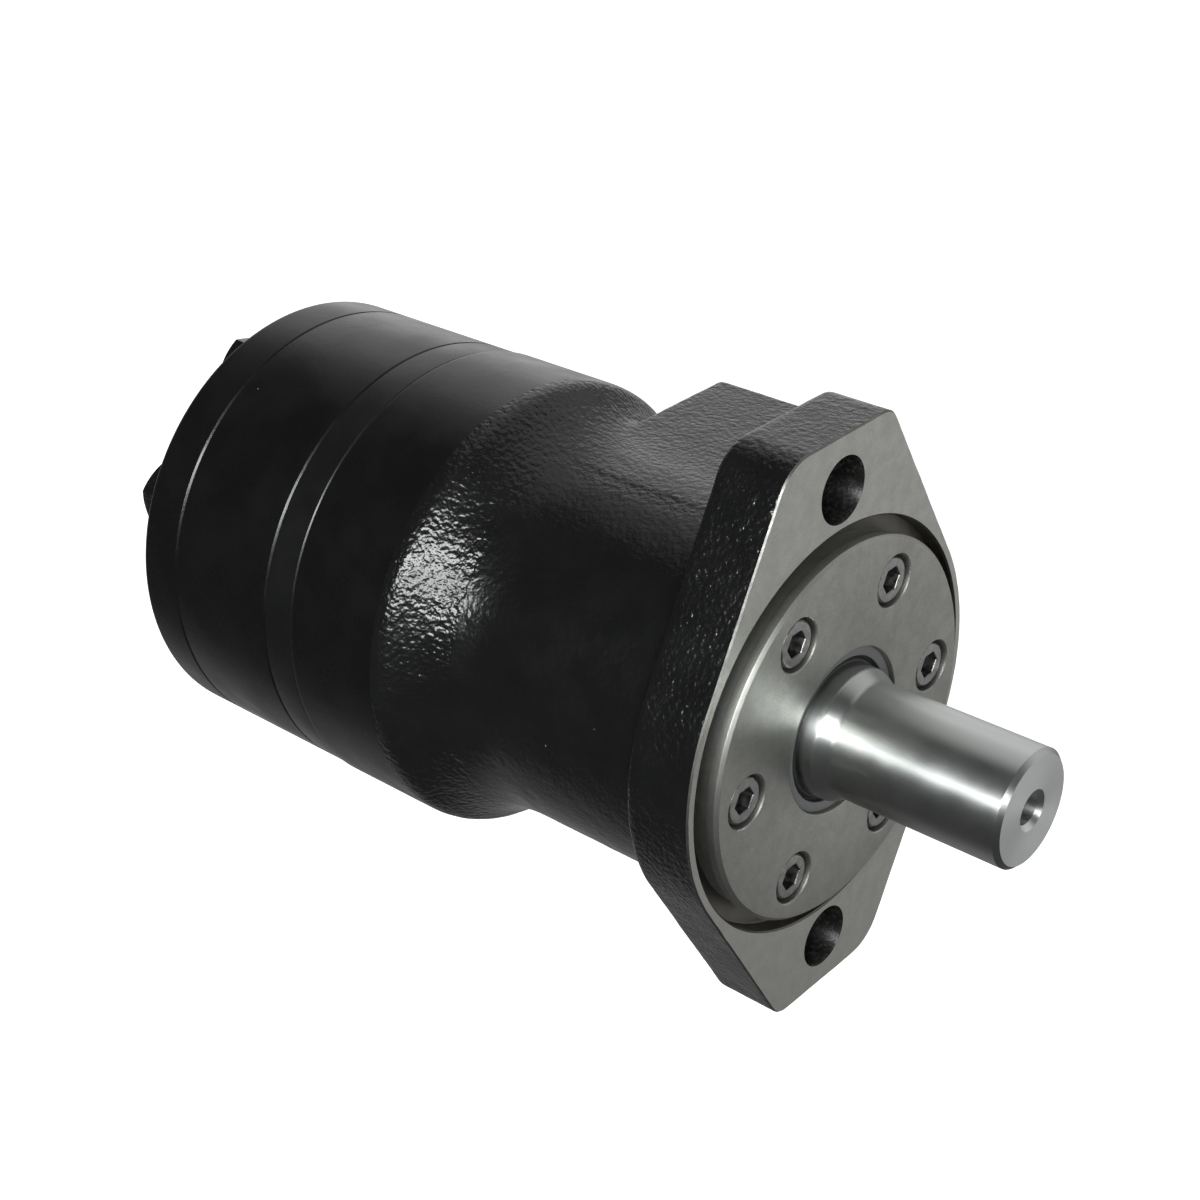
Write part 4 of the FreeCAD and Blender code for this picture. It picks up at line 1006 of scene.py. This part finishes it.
# the nodes that keep their CAD shape, nearly all out of sight
KEPT = {
    "shaft_seal": BLACK_RUBBER, "front_cover_o_ring": BLACK_RUBBER, "housing_o_ring": BLACK_RUBBER,
    "plate_o_ring": BLACK_RUBBER, "end_cover_o_ring": BLACK_RUBBER, "seal_backing_ring": BEARING_STEEL,
    "thrust_washer_front": BEARING_STEEL, "thrust_washer_rear": BEARING_STEEL,
    "thrust_bearing_cage": BEARING_STEEL, "thrust_bearing_rollers": BEARING_STEEL,
    "cardan_shaft": GEAR_STEEL, "cardan_spacer": GEAR_STEEL, "gerotor_star": GEAR_STEEL,
    "drain_plug": ZINC, "drain_plug_washer": COPPER,
}
for node, material in KEPT.items():
    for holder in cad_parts[node].material_slots:
        holder.material = material


# ---------------------------------------------------------------- floor, light and camera
def towards(azimuth, elevation):
    """A direction by its angle from -Y towards +X and its height, in degrees."""
    turn, lift = math.radians(azimuth), math.radians(elevation)
    return Vector((math.sin(turn) * math.cos(lift), -math.cos(turn) * math.cos(lift), math.sin(lift)))


# the room's bright parts: azimuth, elevation, cosines where each starts and is full, brightness
LIT_PARTS = ((-148, -8, 0.84, 0.97, 0.45), (-142, 18, 0.84, 0.97, 0.6), (-125, -5, 0.55, 0.95, 0.25),
             (-170, 55, 0.69, 1.0, 0.85), (140, 0, 0.62, 0.96, 0.84), (-112, -50, 0.75, 0.97, 0.20))
DIM_ROOM = 0.08


def make_floor():
    """A pale floor, 40 metres to each side, that the camera sees nearly white."""
    low, size = cad_box[0][2], 40.0
    mesh = bpy.data.meshes.new("floor")
    mesh.from_pydata([(-size, -size, low), (size, -size, low), (size, size, low), (-size, size, low)],
                     [], [(0, 1, 2, 3)])
    shader = Shader("pale_floor", Roughness=0.9)
    tone = shader.noise(120.0, detail=3.0)
    seen = shader.node("ShaderNodeLightPath").outputs["Is Camera Ray"]
    shader.set(Base_Color=shader.blend(tone, (0.78, 0.78, 0.785), (0.8, 0.8, 0.8)),
               Emission_Color=(1, 1, 1, 1), Emission_Strength=shader.maths("MULTIPLY", seen, 0.8))
    mesh.materials.append(shader.material)
    floor = bpy.data.objects.new("floor", mesh)
    bpy.context.scene.collection.objects.link(floor)
    floor.visible_glossy = False


def make_softbox(name, azimuth, elevation, distance, width, height, radiance):
    """A rectangular studio light that faces the motor, of a given brightness."""
    light = bpy.data.lights.new(name, "AREA")
    light.shape = "RECTANGLE"
    light.size, light.size_y = width, height
    light.energy = radiance * math.pi * width * height
    light.color = (0.975, 1.0, 1.0)
    lamp = bpy.data.objects.new(name, light)
    bpy.context.scene.collection.objects.link(lamp)
    target = Vector((-55, 0, 0)) * MM
    direction = towards(azimuth, elevation)
    lamp.location = target + direction * distance
    lamp.rotation_euler = direction.to_track_quat("Z", "Y").to_euler()


def make_surroundings():
    """The camera sees white; what lights the motor is a dim room with a few soft bright parts."""
    world = bpy.data.worlds.new("studio")
    world.use_nodes = True
    room = Nodes(world.node_tree)
    view = room.node("ShaderNodeTexCoord").outputs["Generated"]
    level = DIM_ROOM
    for azimuth, elevation, start, finish, brightness in LIT_PARTS:
        nearness = room.node("ShaderNodeVectorMath", {"operation": "DOT_PRODUCT"})
        room.feed(nearness, 0, view)
        room.feed(nearness, 1, towards(azimuth, elevation))
        rise = room.remap(nearness.outputs["Value"], start, finish, 0.0, brightness)
        level = room.maths("ADD", rise, level)
    lit = room.node("ShaderNodeBackground", Strength=level)
    backdrop = room.node("ShaderNodeBackground", Color=(1, 1, 1, 1))
    choose = room.node("ShaderNodeMixShader")
    seen = room.node("ShaderNodeLightPath").outputs["Is Camera Ray"]
    for socket, value in enumerate((seen, lit.outputs[0], backdrop.outputs[0])):
        room.feed(choose, socket, value)
    room.node("ShaderNodeOutputWorld", Surface=choose.outputs[0])
    bpy.context.scene.world = world


def make_camera():
    """The view is from in front, 41 degrees round towards the shaft and 29 degrees up."""
    azimuth, elevation, roll = 41.44, 29.40, math.radians(-1.04)
    distance, aside, lift, lens = 436.42, -47.03, 25.53, 64.87
    back = towards(azimuth, elevation)
    level = Vector((math.cos(math.radians(azimuth)), math.sin(math.radians(azimuth)), 0))
    rise = back.cross(level)
    right = level * math.cos(roll) + rise * math.sin(roll)
    above = rise * math.cos(roll) - level * math.sin(roll)
    place = (back * distance + right * aside + above * lift) * MM
    data = bpy.data.cameras.new("camera")
    data.lens = lens
    data.clip_start = 0.01
    camera = bpy.data.objects.new("camera", data)
    bpy.context.scene.collection.objects.link(camera)
    turn = Matrix((right, above, back)).transposed().to_4x4()
    camera.matrix_world = Matrix.Translation(place) @ turn
    bpy.context.scene.camera = camera


make_floor()
make_softbox("key_softbox", azimuth=30, elevation=27, distance=1.0, width=1.10, height=0.25, radiance=21.0)
make_surroundings()
make_camera()
bpy.context.scene.view_settings.view_transform = "Standard"
